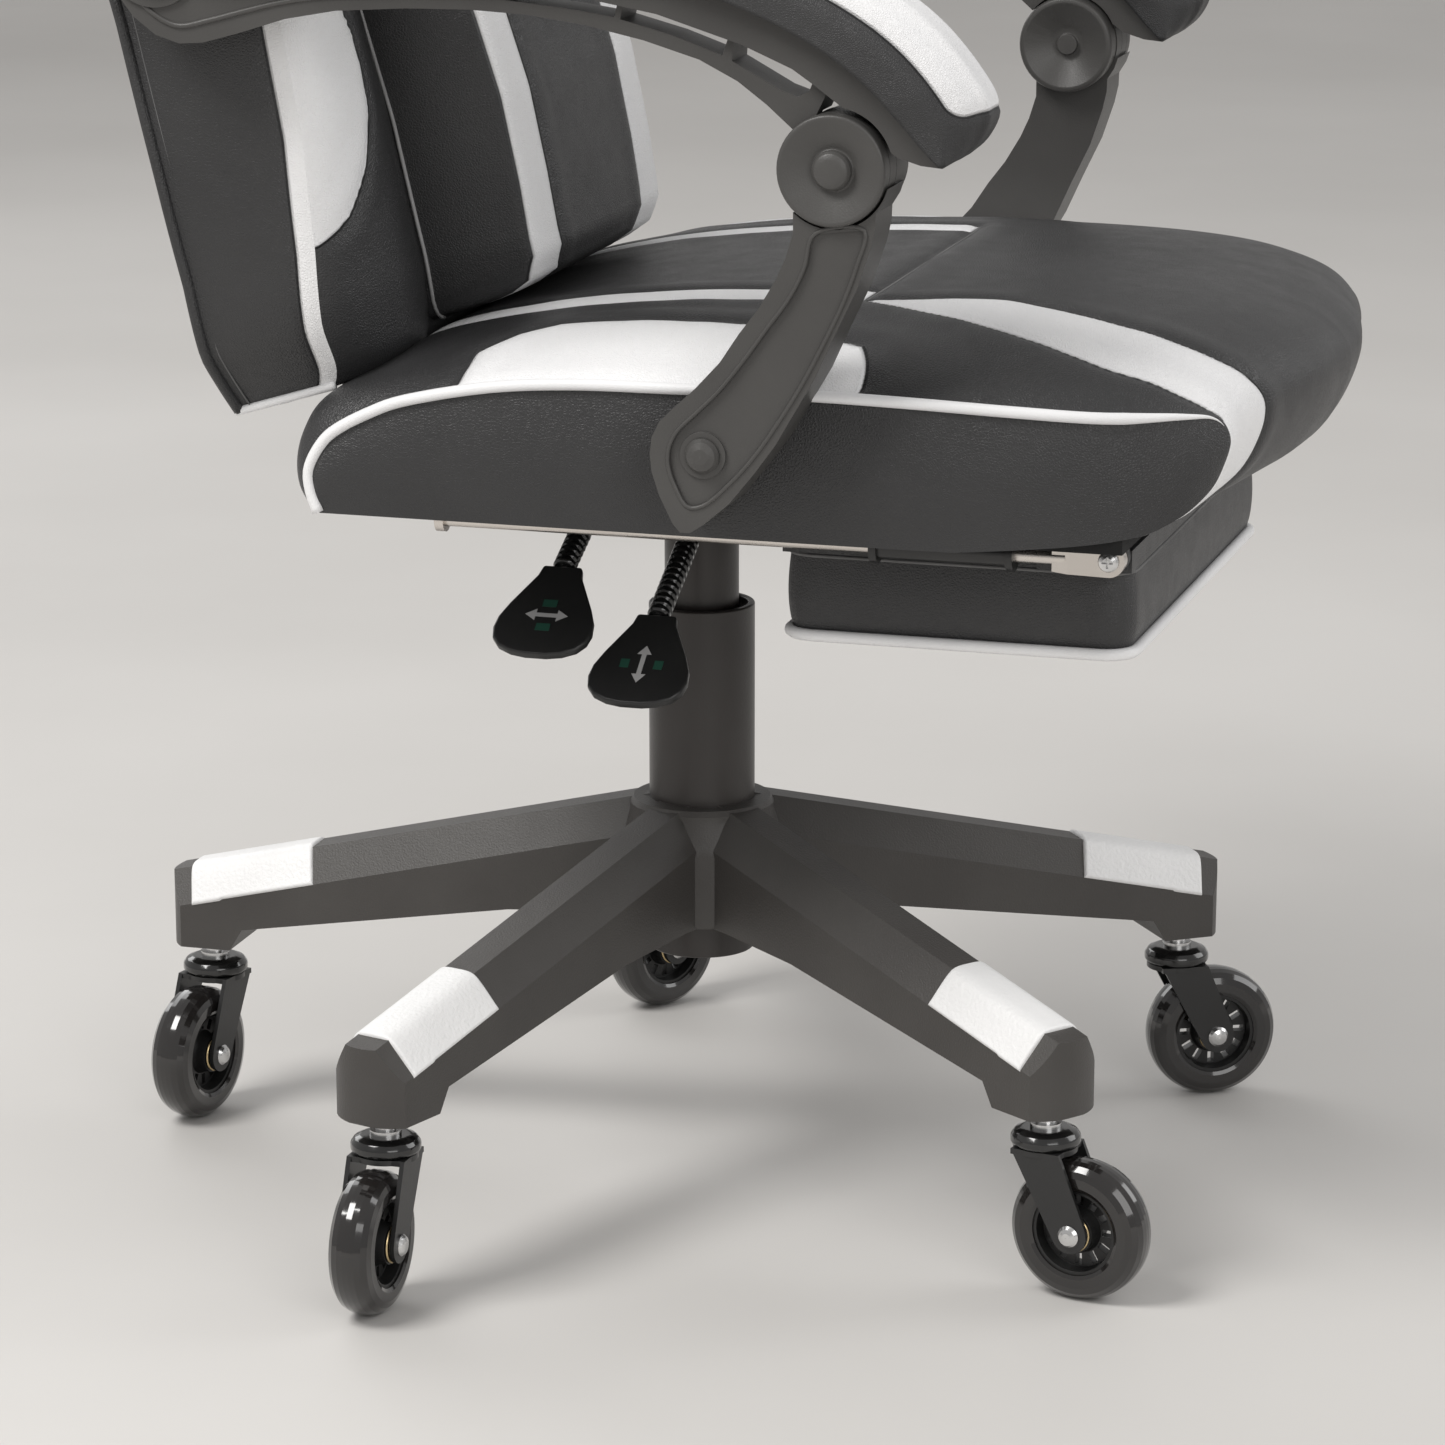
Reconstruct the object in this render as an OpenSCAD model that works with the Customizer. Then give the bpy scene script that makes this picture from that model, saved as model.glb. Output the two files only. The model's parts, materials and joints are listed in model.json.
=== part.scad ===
// Gaming chair with linked reclining armrests and a slide-out footrest.
// Millimetres. +Z is up, the origin is on the floor under the gas column,
// the chair faces -Y and the sitter's right hand is at -X.

/* [Base] */
// Radius of the circle through the five caster stems
base_r = 300; // [285:1:320]
// Turn of the star about the column, in degrees
base_turn = 162.5; // [150:0.5:175]
// Width of one base arm
arm_w = 46; // [42:1:50]

/* [Casters] */
// Wheel radius over the tyre
wheel_r = 39; // [37:0.5:39]
// Width of the tyre
wheel_w = 24; // [20:1:24]
// Horizontal distance from stem to axle
trail = 22; // [20:0.5:23]
// Windows in each wheel hub
hub_windows = 12; // [8:1:14]

/* [Gas column] */
// Outer radius of the lower column tube
tube_r = 30; // [29:0.5:31]
// Outer radius of the sliding column tube
inner_r = 21; // [20:0.5:22]
// Height of the top of the lower tube
tube_top = 326; // [318:1:328]

/* [Seat] */
// Half of the seat's width
seat_half = 243; // [238:1:243]
// Height of the seat's underside
seat_z = 418; // [418:1:420]

/* [Footrest] */
// Half of the footrest pad's width
foot_half = 168; // [150:1:168]
// Height of the rail rods
rail_z = 405; // [405:0.5:406]

/* [Backrest] */
// Lean of the rear of the backrest, in degrees
back_lean = 16.8; // [16.6:0.1:17]
// Height of the backrest along its own slope
back_h = 835; // [800:5:860]

/* [Armrests] */
// Radius of the round pivot dishes
dish_r = 28; // [26:0.5:28]
// Inner face of the lower arm links
link_in = 245.5; // [245:0.1:246]
// Outer face of the lower arm links
link_out = 278; // [276:0.5:279]

/* [Hidden] */

// swivel direction of each caster as parked, stem towards axle
swivel = [178, 258, 299, 148, 170];
boss_z = 103;      // underside of the caster socket boss
cup_z = 83.3;      // underside of the bearing cup
arm_fall = 13.1;   // downward slope of the base arms
hub_z = 220.7;     // height the arm tops aim at on the column axis
socket_top = 404;  // top of the sliding tube
pin_y = 120;       // recline pin
pin_z = 400;
a_y = -84;         // lower bolt of the arm link
a_z = 468;
b_y = -151;        // pivot between link and armrest
b_z = 615;
c_y = 210;         // rear pivot of the armrest
c_z = 708;
heel_y = 184;      // lower rear corner of the backrest
heel_z = 478;
foot_y = -274;     // footrest screw
$fn = 64;

// ---------- helpers ----------
module at_arm(k) { rotate([0, 0, base_turn + 72 * k]) children(); }
module at_stem(k) { at_arm(k) translate([base_r, 0, 0]) rotate([0, 0, swivel[k] - base_turn - 72 * k]) children(); }
// a side profile in (y, z) extruded across the chair between two x values
module side(x0, x1) { translate([x0, 0, 0]) rotate([90, 0, 90]) linear_extrude(x1 - x0) children(); }
// the same on the sitter's right, given by distances from the middle
module right_side(a, b) { side(-b, -a) children(); }
// round bar across the chair
module bar_x(x0, x1, y, z, r) { translate([x0, y, z]) rotate([0, 90, 0]) cylinder(h = x1 - x0, r = r); }
// backrest frame: w forward from the rear face, h up along it
module in_back() { translate([0, heel_y, heel_z]) rotate([-back_lean, 0, 0]) children(); }

// ---------- base ----------
module arm_plan() {
  union() {
    translate([0, -arm_w / 2]) square([base_r - 10, arm_w]);
    intersection() {
      translate([base_r - 40, -arm_w / 2]) square([80, arm_w]);
      translate([base_r - 10, 0]) circle(r = 32);
    }
  }
}
module shoulder_cut(s) {
  translate([0, 0, hub_z]) rotate([0, arm_fall, 0]) rotate([90, 0, 90]) translate([0, 0, -10])
    linear_extrude(380) polygon([[s * 10, 0], [s * 24, -21], [s * 60, -21], [s * 60, 40], [s * 10, 40]]);
}
module base_arm() {
  difference() {
    intersection() {
      rotate([90, 0, 0]) translate([0, 0, -40]) linear_extrude(80)
        polygon([[0, 146], [0, hub_z - 0.5], [46, 210], [324, 145.3], [324, boss_z + 3], [321, boss_z], [282, boss_z], [274, 116], [110, 142], [50, 146]]);
      translate([0, 0, 90]) linear_extrude(140) arm_plan();
    }
    shoulder_cut(1);
    shoulder_cut(-1);
    // ribbed hollow underneath
    rotate([90, 0, 0]) translate([0, 0, -18]) linear_extrude(36) polygon([[58, 90], [58, 184], [104, 173], [104, 90]]);
    rotate([90, 0, 0]) translate([0, 0, -18]) linear_extrude(36) polygon([[109, 90], [109, 172], [160, 160], [160, 90]]);
    rotate([90, 0, 0]) translate([0, 0, -18]) linear_extrude(36) polygon([[165, 90], [165, 159], [215, 147], [215, 90]]);
    rotate([90, 0, 0]) translate([0, 0, -18]) linear_extrude(36) polygon([[220, 90], [220, 146], [270, 134], [270, 90]]);
    translate([base_r, 0, boss_z - 1]) cylinder(h = 27, r = 5.5);
  }
}
module star_base() {
  color([0.26, 0.25, 0.24]) difference() {
    union() {
      for (k = [0:4]) at_arm(k) base_arm();
      rotate_extrude() polygon([[0, 146], [46, 146], [47, 148], [47, 188], [41, 206], [41, 210], [39, 213], [0, 213]]);
    }
    translate([0, 0, 130]) cylinder(h = 100, r = tube_r);
  }
}
module base_tip_caps() {
  color([0.95, 0.95, 0.95]) for (k = [0:4]) at_arm(k)
    intersection() {
      translate([0, 0, hub_z]) rotate([0, arm_fall, 0]) rotate([90, 0, 90]) linear_extrude(380)
        polygon([[-10, 0], [-23, -19.5], [-24.6, -18.6], [-11, 1.8], [11, 1.8], [24.6, -18.6], [23, -19.5], [10, 0]]);
      translate([233, -30, 90]) cube([83, 60, 90]);
    }
}
module column_outer_tube() {
  color([0.22, 0.2, 0.19]) difference() {
    translate([0, 0, 124]) cylinder(h = tube_top - 124, r = tube_r);
    translate([0, 0, 128]) cylinder(h = 300, r = 26);
    translate([0, 0, 100]) cylinder(h = 60, r = 5);
  }
}
module column_guide_bush() {
  color([0.12, 0.12, 0.12]) difference() {
    translate([0, 0, 264]) cylinder(h = tube_top - 6 - 264, r = 26);
    translate([0, 0, 250]) cylinder(h = 100, r = inner_r + 0.05);
  }
}
module piston_rod() {
  color("silver") union() {
    translate([0, 0, 120]) cylinder(h = 190, r = 5);
    translate([0, 0, 120]) cylinder(h = 4, r = 9);
  }
}

// ---------- casters ----------
module caster_stems() {
  color("silver") for (k = [0:4]) at_stem(k) union() {
    translate([0, 0, 79.5]) cylinder(h = boss_z + 24 - 79.5, r = 5.5);
    translate([0, 0, 77]) cylinder(h = 2.6, r = 8);
    translate([0, 0, 93]) cylinder(h = 2.5, r = 8.5);
  }
}
module caster_cups() {
  color([0.08, 0.08, 0.08]) for (k = [0:4]) at_stem(k) translate([0, 0, cup_z])
    rotate_extrude() polygon([[5.5, 0], [17.5, 0], [19, 1.5], [19, 5], [17, 8], [12, 9.7], [5.5, 9.7]]);
}
module caster_fork(k) {
  color([0.1, 0.1, 0.1]) at_stem(k) difference() {
    union() {
      translate([0, 0, 80]) cylinder(h = 3, r = 17.5);
      translate([-13, -16.5, 80]) cube([28, 33, 3]);
      for (s = [-1, 1]) translate([0, s * 15.25 + 1.25, 0]) rotate([90, 0, 0]) linear_extrude(2.5) union() {
        polygon([[-13, 83], [15, 83], [31.5, 43], [12.8, 35]]);
        translate([trail, 39]) circle(r = 10);
      }
    }
    translate([0, 0, 70]) cylinder(h = 20, r = 5.55);
    translate([trail, 30, 39]) rotate([90, 0, 0]) cylinder(h = 60, r = 4);
  }
}
module caster_axle(k) {
  color("silver") at_stem(k) translate([trail, 0, 39]) rotate([90, 0, 0]) union() {
    translate([0, 0, -16.5]) cylinder(h = 33, r = 4);
    translate([0, 0, 16.5]) rotate_extrude() polygon([[0, 0], [6, 0], [6, 1], [4.6, 2.6], [2.4, 3.4], [0, 3.6]]);
    translate([0, 0, -16.5]) rotate_extrude() polygon([[0, 0], [6, 0], [6, -1], [4.6, -2.6], [2.4, -3.4], [0, -3.6]]);
  }
}
module wheel_hub(k) {
  color([0.07, 0.07, 0.07]) at_stem(k) translate([trail, 0, 39]) rotate([90, 0, 0]) difference() {
    rotate_extrude() polygon([[4.05, -12.5], [6, -12.5], [6, -11.5], [11, -11], [11.5, -6], [13, -3], [21, -3], [22, -10], [24, -10],
      [24, 10], [22, 10], [21, 3], [13, 3], [11.5, 6], [11, 11], [6, 11.5], [6, 12.5], [4.05, 12.5]]);
    for (i = [0:hub_windows - 1]) rotate([0, 0, i * 360 / hub_windows]) translate([13.6, -1.9, -8]) cube([6.4, 3.8, 16]);
  }
}
module tyre(k) {
  color([0.1, 0.09, 0.09]) at_stem(k) translate([trail, 0, 39]) rotate([90, 0, 0])
    rotate_extrude() polygon([[24, -11], [26, -wheel_w / 2], [31, -wheel_w / 2], [34.5, -10.8], [37.2, -8.2], [38.6, -4.8], [wheel_r, -1.6],
      [wheel_r, 1.6], [38.6, 4.8], [37.2, 8.2], [34.5, 10.8], [31, wheel_w / 2], [26, wheel_w / 2], [24, 11]]);
}

// ---------- sliding column ----------
module column_inner_tube() {
  color([0.22, 0.2, 0.19]) difference() {
    translate([0, 0, 172]) cylinder(h = socket_top - 172, r = inner_r);
    translate([0, 0, 160]) cylinder(h = 225, r = 18.5);
  }
}

// ---------- seat ----------
module seat_cushion() {
  edge = [[148, seat_z], [152, 432], [151, 450], [143, 468], [126, 482], [105, 490], [43, 495], [-60, 497], [-200, 497], [-240, 495],
    [-240, 421], [-210, seat_z]];
  corner = [[-200, 497], [-282, 494], [-290, 486], [-290, 432], [-282, 425], [-200, seat_z]];
  nose = [[-200, 500], [-325, 494], [-340, 488], [-348, 476], [-344, 452], [-325, 436], [-300, 426], [-210, seat_z]];
  crown = [[148, seat_z], [152, 432], [150, 452], [138, 474], [116, 490], [90, 502], [20, 515], [-60, 524], [-130, 528], [-226, 529],
    [-290, 525], [-335, 516], [-358, 503], [-368, 488], [-360, 468], [-338, 448], [-300, 426], [-210, seat_z]];
  color([0.24, 0.24, 0.24]) difference() {
    hull() {
      side(-seat_half, seat_half) polygon(edge);
      side(-232, 232) polygon(corner);
      side(-195, 195) polygon(nose);
      side(-155, 155) polygon(crown);
    }
    translate([-225, -290, 400]) cube([450, 430, 30]);
    bar_x(-300, -198, a_y, a_z, 6);
    bar_x(198, 300, a_y, a_z, 6);
  }
}
module seat_board() {
  color([0.72, 0.58, 0.4]) difference() {
    translate([-225, -290, seat_z]) cube([450, 430, 12]);
    for (x = [-75, 75]) for (y = [-72, 104]) translate([x, y, 400]) cylinder(h = 60, r = 4);
  }
}
module mechanism_plate() {
  color([0.13, 0.13, 0.13]) difference() {
    translate([-92, -90, seat_z - 2.5]) cube([184, 212, 2.5]);
    for (x = [-75, 75]) for (y = [-72, 104]) translate([x, y, 400]) cylinder(h = 60, r = 4);
  }
}
module lever_line(x, z, y, fall) { translate([x, y, z]) rotate([0, -fall, 0]) rotate([0, -90, 0]) children(); }
// pair of lugs inside the housing wall that carry a lever's cross pin
module lever_lugs(x, z, y) {
  for (s = [-1, 1]) difference() {
    translate([x - 8, y + s * 7.4 - 1.2, z - 4.6]) cube([13, 2.4, 9.2]);
    translate([x, y, z]) rotate([90, 0, 0]) cylinder(h = 30, r = 2.55, center = true);
  }
}
module mechanism_housing() {
  color([0.13, 0.13, 0.13]) union() {
    difference() {
      translate([-50, -62, 372]) cube([100, 188, seat_z - 2.5 - 372]);
      translate([-47, -59, 375]) cube([94, 182, 60]);
      translate([0, 0, 360]) cylinder(h = 40, r = inner_r + 2);
      bar_x(-60, 60, pin_y, pin_z, 5.05);
      lever_line(-40, 383.4, -10, 28) cylinder(h = 20, r = 5.4);
      lever_line(-40, 403.4, 43, 25) cylinder(h = 20, r = 5.4);
    }
    lever_lugs(-40, 383.4, -10);
    lever_lugs(-40, 403.4, 43);
    difference() {
      translate([0, 0, 372]) cylinder(h = 36, r = inner_r + 5);
      translate([0, 0, 360]) cylinder(h = 46, r = inner_r + 0.05);
    }
  }
}
module seat_fasteners() {
  color("silver") union() {
    for (x = [-75, 75]) for (y = [-72, 104]) translate([x, y, 0]) {
      translate([0, 0, seat_z - 7.5]) cylinder(h = 5, r = 6.5, $fn = 6);
      translate([0, 0, seat_z - 3]) cylinder(h = 14, r = 4);
    }
    for (s = [-1, 1]) {
      bar_x(s > 0 ? 198 : -link_out - 0.4, s > 0 ? link_out + 0.4 : -198, a_y, a_z, 6);
      translate([s * (link_out + 0.4), a_y, a_z]) rotate([0, s * 90, 0])
        rotate_extrude() polygon([[0, 0], [9, 0], [9, 1.2], [7.4, 3.4], [4, 4.8], [0, 5.2]]);
    }
  }
}
module footrest_guides() {
  color([0.2, 0.2, 0.2]) for (s = [-1, 1]) difference() {
    union() {
      translate([s * 180, -147, rail_z]) rotate([90, 0, 0]) cylinder(h = 77, r = 6.5);
      translate([s * 180, -147, rail_z]) rotate([90, 0, 0]) cylinder(h = 4, r = 9);
      translate([s * 180, -220, rail_z]) rotate([90, 0, 0]) cylinder(h = 4, r = 9);
      translate([s * 180 - 3, -215, rail_z + 5]) cube([6, 60, seat_z - rail_z - 5]);
    }
    translate([s * 180, -100, rail_z]) rotate([90, 0, 0]) cylinder(h = 150, r = 4.05);
  }
}
module recline_pin() {
  color("silver") union() {
    bar_x(-62, 62, pin_y, pin_z, 5);
    bar_x(-65.5, -61.5, pin_y, pin_z, 8.5);
    bar_x(61.5, 65.5, pin_y, pin_z, 8.5);
  }
}

// ---------- levers ----------
module lever_rod() {
  union() {
    cylinder(h = 86, r = 3);
    rotate([90, 0, 0]) cylinder(h = 11.6, r = 4.2, center = true);
    rotate([90, 0, 0]) cylinder(h = 18, r = 2.5, center = true);
  }
}
module lever_sleeve() {
  n = 13;
  rotate_extrude() polygon(concat([[3, 22], [3, 86]],
    [for (i = [0:n - 1]) each [[5.2, 86 - i * 64 / n], [6.4, 86 - (i + 0.25) * 64 / n], [6.4, 86 - (i + 0.7) * 64 / n], [5.2, 86 - (i + 0.95) * 64 / n]]],
    [[5.2, 22]]));
}
module lever_paddle() {
  half = [[0, 11], [7, 12.5], [17, 17.5], [28, 23], [38, 27], [46, 28], [53, 26.5], [58.5, 22], [62, 14.5], [63.5, 6]];
  n = len(half);
  translate([-2.6, 0, 0]) rotate([0, 90, 0]) rotate([0, 0, 180]) linear_extrude(5.2)
    polygon(concat(half, [for (i = [n - 1:-1:0]) [half[i][0], -half[i][1]]]));
}
// paddle bent down from the end of its rod, faced off square against the sleeve
module bent_paddle(a) {
  difference() {
    translate([0, 0, 86]) rotate([0, -a, 0]) lever_paddle();
    cylinder(h = 86, r = 14);
  }
}
module lift_lever() { lever_line(-40, 383.4, -10, 28) children(); }
module lock_lever() { lever_line(-40, 403.4, 43, 25) children(); }
module lift_lever_rod() { color("silver") lift_lever() lever_rod(); }
module lift_lever_sleeve() { color([0.08, 0.08, 0.08]) lift_lever() lever_sleeve(); }
module lift_lever_paddle() { color([0.1, 0.1, 0.1]) lift_lever() bent_paddle(8); }
module lock_lever_rod() { color("silver") lock_lever() lever_rod(); }
module lock_lever_sleeve() { color([0.08, 0.08, 0.08]) lock_lever() lever_sleeve(); }
module lock_lever_paddle() { color([0.1, 0.1, 0.1]) lock_lever() bent_paddle(11); }

// ---------- footrest ----------
module footrest_rods() {
  color("silver") for (s = [-1, 1]) union() {
    translate([s * 180, 93, rail_z]) rotate([90, 0, 0]) cylinder(h = 344, r = 4);
    translate([s * 180, 93, rail_z]) rotate([90, 0, 0]) cylinder(h = 5, r = 7);
    difference() {
      side(s * 180 - 3.5, s * 180 + 3.5) union() {
        polygon([[-244, rail_z - 7], [-244, rail_z + 7], [-252, rail_z + 8], [foot_y, rail_z + 8.5], [foot_y, rail_z - 8.5], [-252, rail_z - 8]]);
        translate([foot_y, rail_z]) circle(r = 8.5);
      }
      bar_x(s * 180 - 10, s * 180 + 10, foot_y, rail_z, 3.05);
    }
  }
}
module footrest_screws() {
  color("silver") for (s = [-1, 1]) difference() {
    union() {
      bar_x(s > 0 ? 150 : -183.8, s > 0 ? 183.8 : -150, foot_y, rail_z, 3);
      translate([s * 183.8, foot_y, rail_z]) rotate([0, s * 90, 0])
        rotate_extrude() polygon([[0, 0], [5.5, 0], [5.5, 1], [4.6, 2.4], [2.6, 3.2], [0, 3.4]]);
    }
    translate([s * 186.4, foot_y, rail_z]) cube([2.4, 6, 1.2], center = true);
    translate([s * 186.4, foot_y, rail_z]) cube([2.4, 1.2, 6], center = true);
  }
}
module footrest_board() {
  color([0.24, 0.24, 0.24]) difference() {
    union() {
      translate([-foot_half, -283, rail_z - 9]) cube([2 * foot_half, 188, 12]);
      for (s = [-1, 1]) side(s * 171.5 - 3.5, s * 171.5 + 3.5) union() {
        translate([foot_y, rail_z]) circle(r = 8.5);
        translate([foot_y, rail_z - 8.5]) square([40, 9]);
      }
    }
    bar_x(-190, 190, foot_y, rail_z, 3);
  }
}
module footrest_pad() {
  r = 14;
  color([0.2, 0.2, 0.2]) translate([0, 0, 350]) linear_extrude(rail_z - 9 - 350) union() {
    translate([-foot_half + r, -283]) square([2 * foot_half - 2 * r, 188]);
    translate([-foot_half, -283 + r]) square([2 * foot_half, 188 - 2 * r]);
    for (x = [-1, 1]) for (y = [-283 + r, -95 - r]) translate([x * (foot_half - r), y]) circle(r = r);
  }
}

// ---------- backrest ----------
back_outline = [[205, 2], [219, 22], [228, 70], [233, 140], [235.5, 220], [236, 290], [240, 360], [252, 430], [262, 490], [264, 540],
  [256, 590], [232, 640], [198, 680], [174, 715], [165, 755], [156, 795], [128, 824], [80, back_h - 2], [40, back_h]];
module back_front() {
  n = len(back_outline);
  polygon(concat(back_outline, [for (i = [n - 1:-1:0]) [-back_outline[i][0], back_outline[i][1]]]));
}
// slab of the backrest between two depth profiles, cut to the front outline
module back_slab() {
  intersection() {
    translate([0, 300, 0]) rotate([90, 0, 0]) linear_extrude(600) back_front();
    side(-300, 300) children();
  }
}
module back_board() {
  color([0.2, 0.2, 0.2]) in_back() back_slab() polygon([[-1, -12], [-40, -12], [-42, 20], [-42, back_h + 5], [-6, back_h + 5], [0, 780], [0, 20]]);
}
module back_bolsters() {
  color([0.25, 0.25, 0.25]) in_back() difference() {
    back_slab() polygon([[-42.5, -12], [-56, -12], [-72, 85], [-81, 160], [-90, 260], [-96, 380], [-96, 560], [-88, 700], [-78, 790], [-60, back_h + 5], [-42.5, back_h + 5]]);
    translate([-125.5, -200, -50]) cube([251, 300, 1000]);
  }
}
module back_centre_pad() {
  color([0.22, 0.22, 0.22]) in_back() intersection() {
    translate([0, 300, 0]) rotate([90, 0, 0]) linear_extrude(600)
      polygon([[-100, 12], [-118, 24], [-124, 50], [-124, 770], [-110, 800], [-60, 812], [60, 812], [110, 800], [124, 770], [124, 50], [118, 24], [100, 12]]);
    side(-130, 130) polygon([[-43, 0], [-92, 0], [-112, 20], [-132, 60], [-142, 110], [-146, 160], [-140, 230], [-124, 330], [-110, 450],
      [-102, 600], [-96, 740], [-84, 800], [-60, 820], [-43, 820]]);
  }
}
module head_pillow() {
  color([0.22, 0.22, 0.22]) in_back() hull() {
    side(-132, 132) polygon([[-108, 640], [-104, 735], [-118, 748], [-134, 735], [-140, 690], [-134, 645], [-120, 634]]);
    side(-115, 115) polygon([[-106, 634], [-103, 745], [-124, 758], [-146, 738], [-154, 690], [-146, 642], [-124, 625]]);
  }
}
module head_pillow_strap() {
  color([0.1, 0.1, 0.1]) in_back() translate([0, 0, 722]) difference() {
    translate([-175, -102, 0]) cube([350, 104.4, 22]);
    translate([-173.4, -100.6, -1]) cube([346.8, 101.6, 24]);
  }
}
module back_bracket() {
  color([0.1, 0.1, 0.1]) difference() {
    union() {
      for (s = [-1, 1]) side(s * 56 - 4, s * 56 + 4)
        polygon([[108.5, 396], [111, 391], [116, 388], [158, 388], [172, 396], [181, 416], [229, 579], [221.9, 602], [167.1, 420.5], [158, 412], [124, 413], [115, 412], [109, 406]]);
      translate([-53, 144, 388]) cube([106, 18, 6]);
      in_back() translate([-53, 0, -78]) cube([106, 4, 206]);
      in_back() for (x = [-34, 34]) for (h = [30, 100]) translate([x, 3, h]) rotate([-90, 0, 0]) cylinder(h = 5, r = 6.5, $fn = 6);
    }
    bar_x(-80, 80, pin_y, pin_z, 5.05);
  }
}
module arm_pivot_plates() {
  color([0.1, 0.1, 0.1]) { bar_x(-239.4, -236, c_y, c_z, 20); bar_x(236, 239.4, c_y, c_z, 20); }
}

// ---------- arm linkage ----------
module upright() {
  color([0.3, 0.3, 0.3]) difference() {
    union() {
      difference() {
        right_side(link_in, link_out) polygon([[-179.6, 607], [-177.5, 601], [-173.5, 594.6], [-173.2, 587], [-171, 577], [-164, 556], [-153, 533], [-143, 511], [-132, 492], [-122, 475],
          [-111, 460], [-98, 444], [-84, 432], [-77, 427.5], [-72, 427.5], [-68, 432], [-61, 446], [-57, 458], [-56, 467], [-57, 476],
          [-61, 484], [-68, 491], [-80, 502], [-93, 516], [-103, 531], [-113, 544], [-122, 559], [-127, 570], [-131, 583], [-131, 595], [-150, 608]]);
        bar_x(-290, -258.7, b_y, b_z, dish_r + 1.4);
        // sunken panel with its raised rim
        right_side(link_out - 1.6, link_out + 5) polygon([[-168, 586], [-164, 568], [-157, 549], [-147, 528], [-136, 507], [-125, 489], [-112, 470],
          [-98, 454], [-84, 442], [-76, 441], [-70, 450], [-66, 461], [-66, 470], [-70, 479], [-80, 489], [-92, 501], [-105, 517], [-118, 535], [-129, 550], [-137, 566], [-142, 583]]);
      }
      bar_x(-258.5, -link_in, b_y, b_z, dish_r);
      bar_x(-link_out, -link_in, a_y, a_z, 12);
    }
    bar_x(-300, -200, a_y, a_z, 6.05);
    bar_x(-300, -200, b_y, b_z, 6.05);
  }
}
module arm_frame() {
  beam_top = [[-207, 618], [-197, 629], [-189, 638], [-172, 656], [-155, 669], [-138, 679], [-120, 687.5], [-95, 697], [-60, 707], [-20, 714.5],
    [30, 719], [80, 719.5], [130, 717], [170, 716], [195, 722], [214, 734]];
  beam_low = [[236, 716], [205, 702], [170, 697], [130, 698], [80, 700.5], [30, 700], [-20, 695.5], [-60, 688.5], [-104, 675], [-130, 664],
    [-142, 656], [-160, 643], [-173, 630], [-184, 622.5], [-196, 619]];
  web_low = [[-130, 632], [-115, 645], [-100, 656], [-80, 666], [-51, 674.5], [-20, 681], [10, 685], [40, 686.5], [74, 686], [112, 683.5],
    [139, 678.5], [166, 670], [184, 665], [197, 664], [210, 668], [222, 677], [232, 690], [237, 712]];
  color([0.3, 0.3, 0.3]) difference() {
    union() {
      right_side(240.2, 277) polygon(concat(beam_top, beam_low));
      difference() {
        right_side(243, 270) polygon(concat(web_low, [[205, 716], [170, 710], [80, 712], [0, 708], [-60, 700], [-100, 688], [-130, 674], [-150, 660], [-140, 640]]));
        right_side(200, 300) polygon([[-98, 678], [-97, 666], [-122, 652.5], [-131, 649.5], [-137, 653], [-140, 660]]);
        right_side(200, 300) polygon([[-41, 694], [-39, 684.5], [-66, 677.5], [-92, 668.5], [-96, 680]]);
        right_side(200, 300) polygon([[22, 701], [22, 692], [-10, 689], [-36, 685.5], [-38, 694]]);
      }
      bar_x(-271, -259, b_y, b_z, dish_r);
      bar_x(-272, -240.2, c_y, c_z, 26);
    }
    // seats for the linkage eye and for the caps, and the room its shoulder sweeps as the back reclines
    intersection() {
      difference() {
        bar_x(-278.6, -244.9, b_y, b_z, dish_r + 3.2);
        bar_x(-271, -259, b_y, b_z, dish_r);
      }
      right_side(240, 300) polygon([[b_y, b_z], [-240, 596], [-240, 690], [-146, 690]]);
    }
    bar_x(-258.9, -200, b_y, b_z, dish_r + 0.8);
    bar_x(-300, -271.1, b_y, b_z, dish_r + 0.4);
    bar_x(-300, -272.1, c_y, c_z, 18.4);
    bar_x(-300, -200, b_y, b_z, 6.05);
    bar_x(-300, -200, c_y, c_z, 6.05);
  }
}
module arm_pad() {
  color([0.28, 0.28, 0.28]) intersection() {
    right_side(220, 300) polygon([[-207.5, 619.5], [-216, 623], [-224, 631], [-228, 638], [-229, 644], [-225, 654], [-216, 668], [-200, 686], [-180, 701],
      [-150, 717], [-110, 732], [-60, 743], [0, 749], [60, 749], [100, 745], [128, 736], [140, 726], [143, 718.5], [130, 718], [80, 720.5],
      [30, 720], [-20, 715.5], [-60, 708], [-95, 698], [-120, 688.5], [-138, 680], [-155, 670], [-172, 657], [-189, 639], [-197, 630]]);
    translate([0, 0, 500]) linear_extrude(300) polygon([[-289, -200], [-284, -222], [-272, -232], [-246, -232], [-233, -222], [-228, -200],
      [-228, 60], [-241, 100], [-241, 128], [-250, 150], [-278, 150], [-288, 128]]);
  }
}
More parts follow.
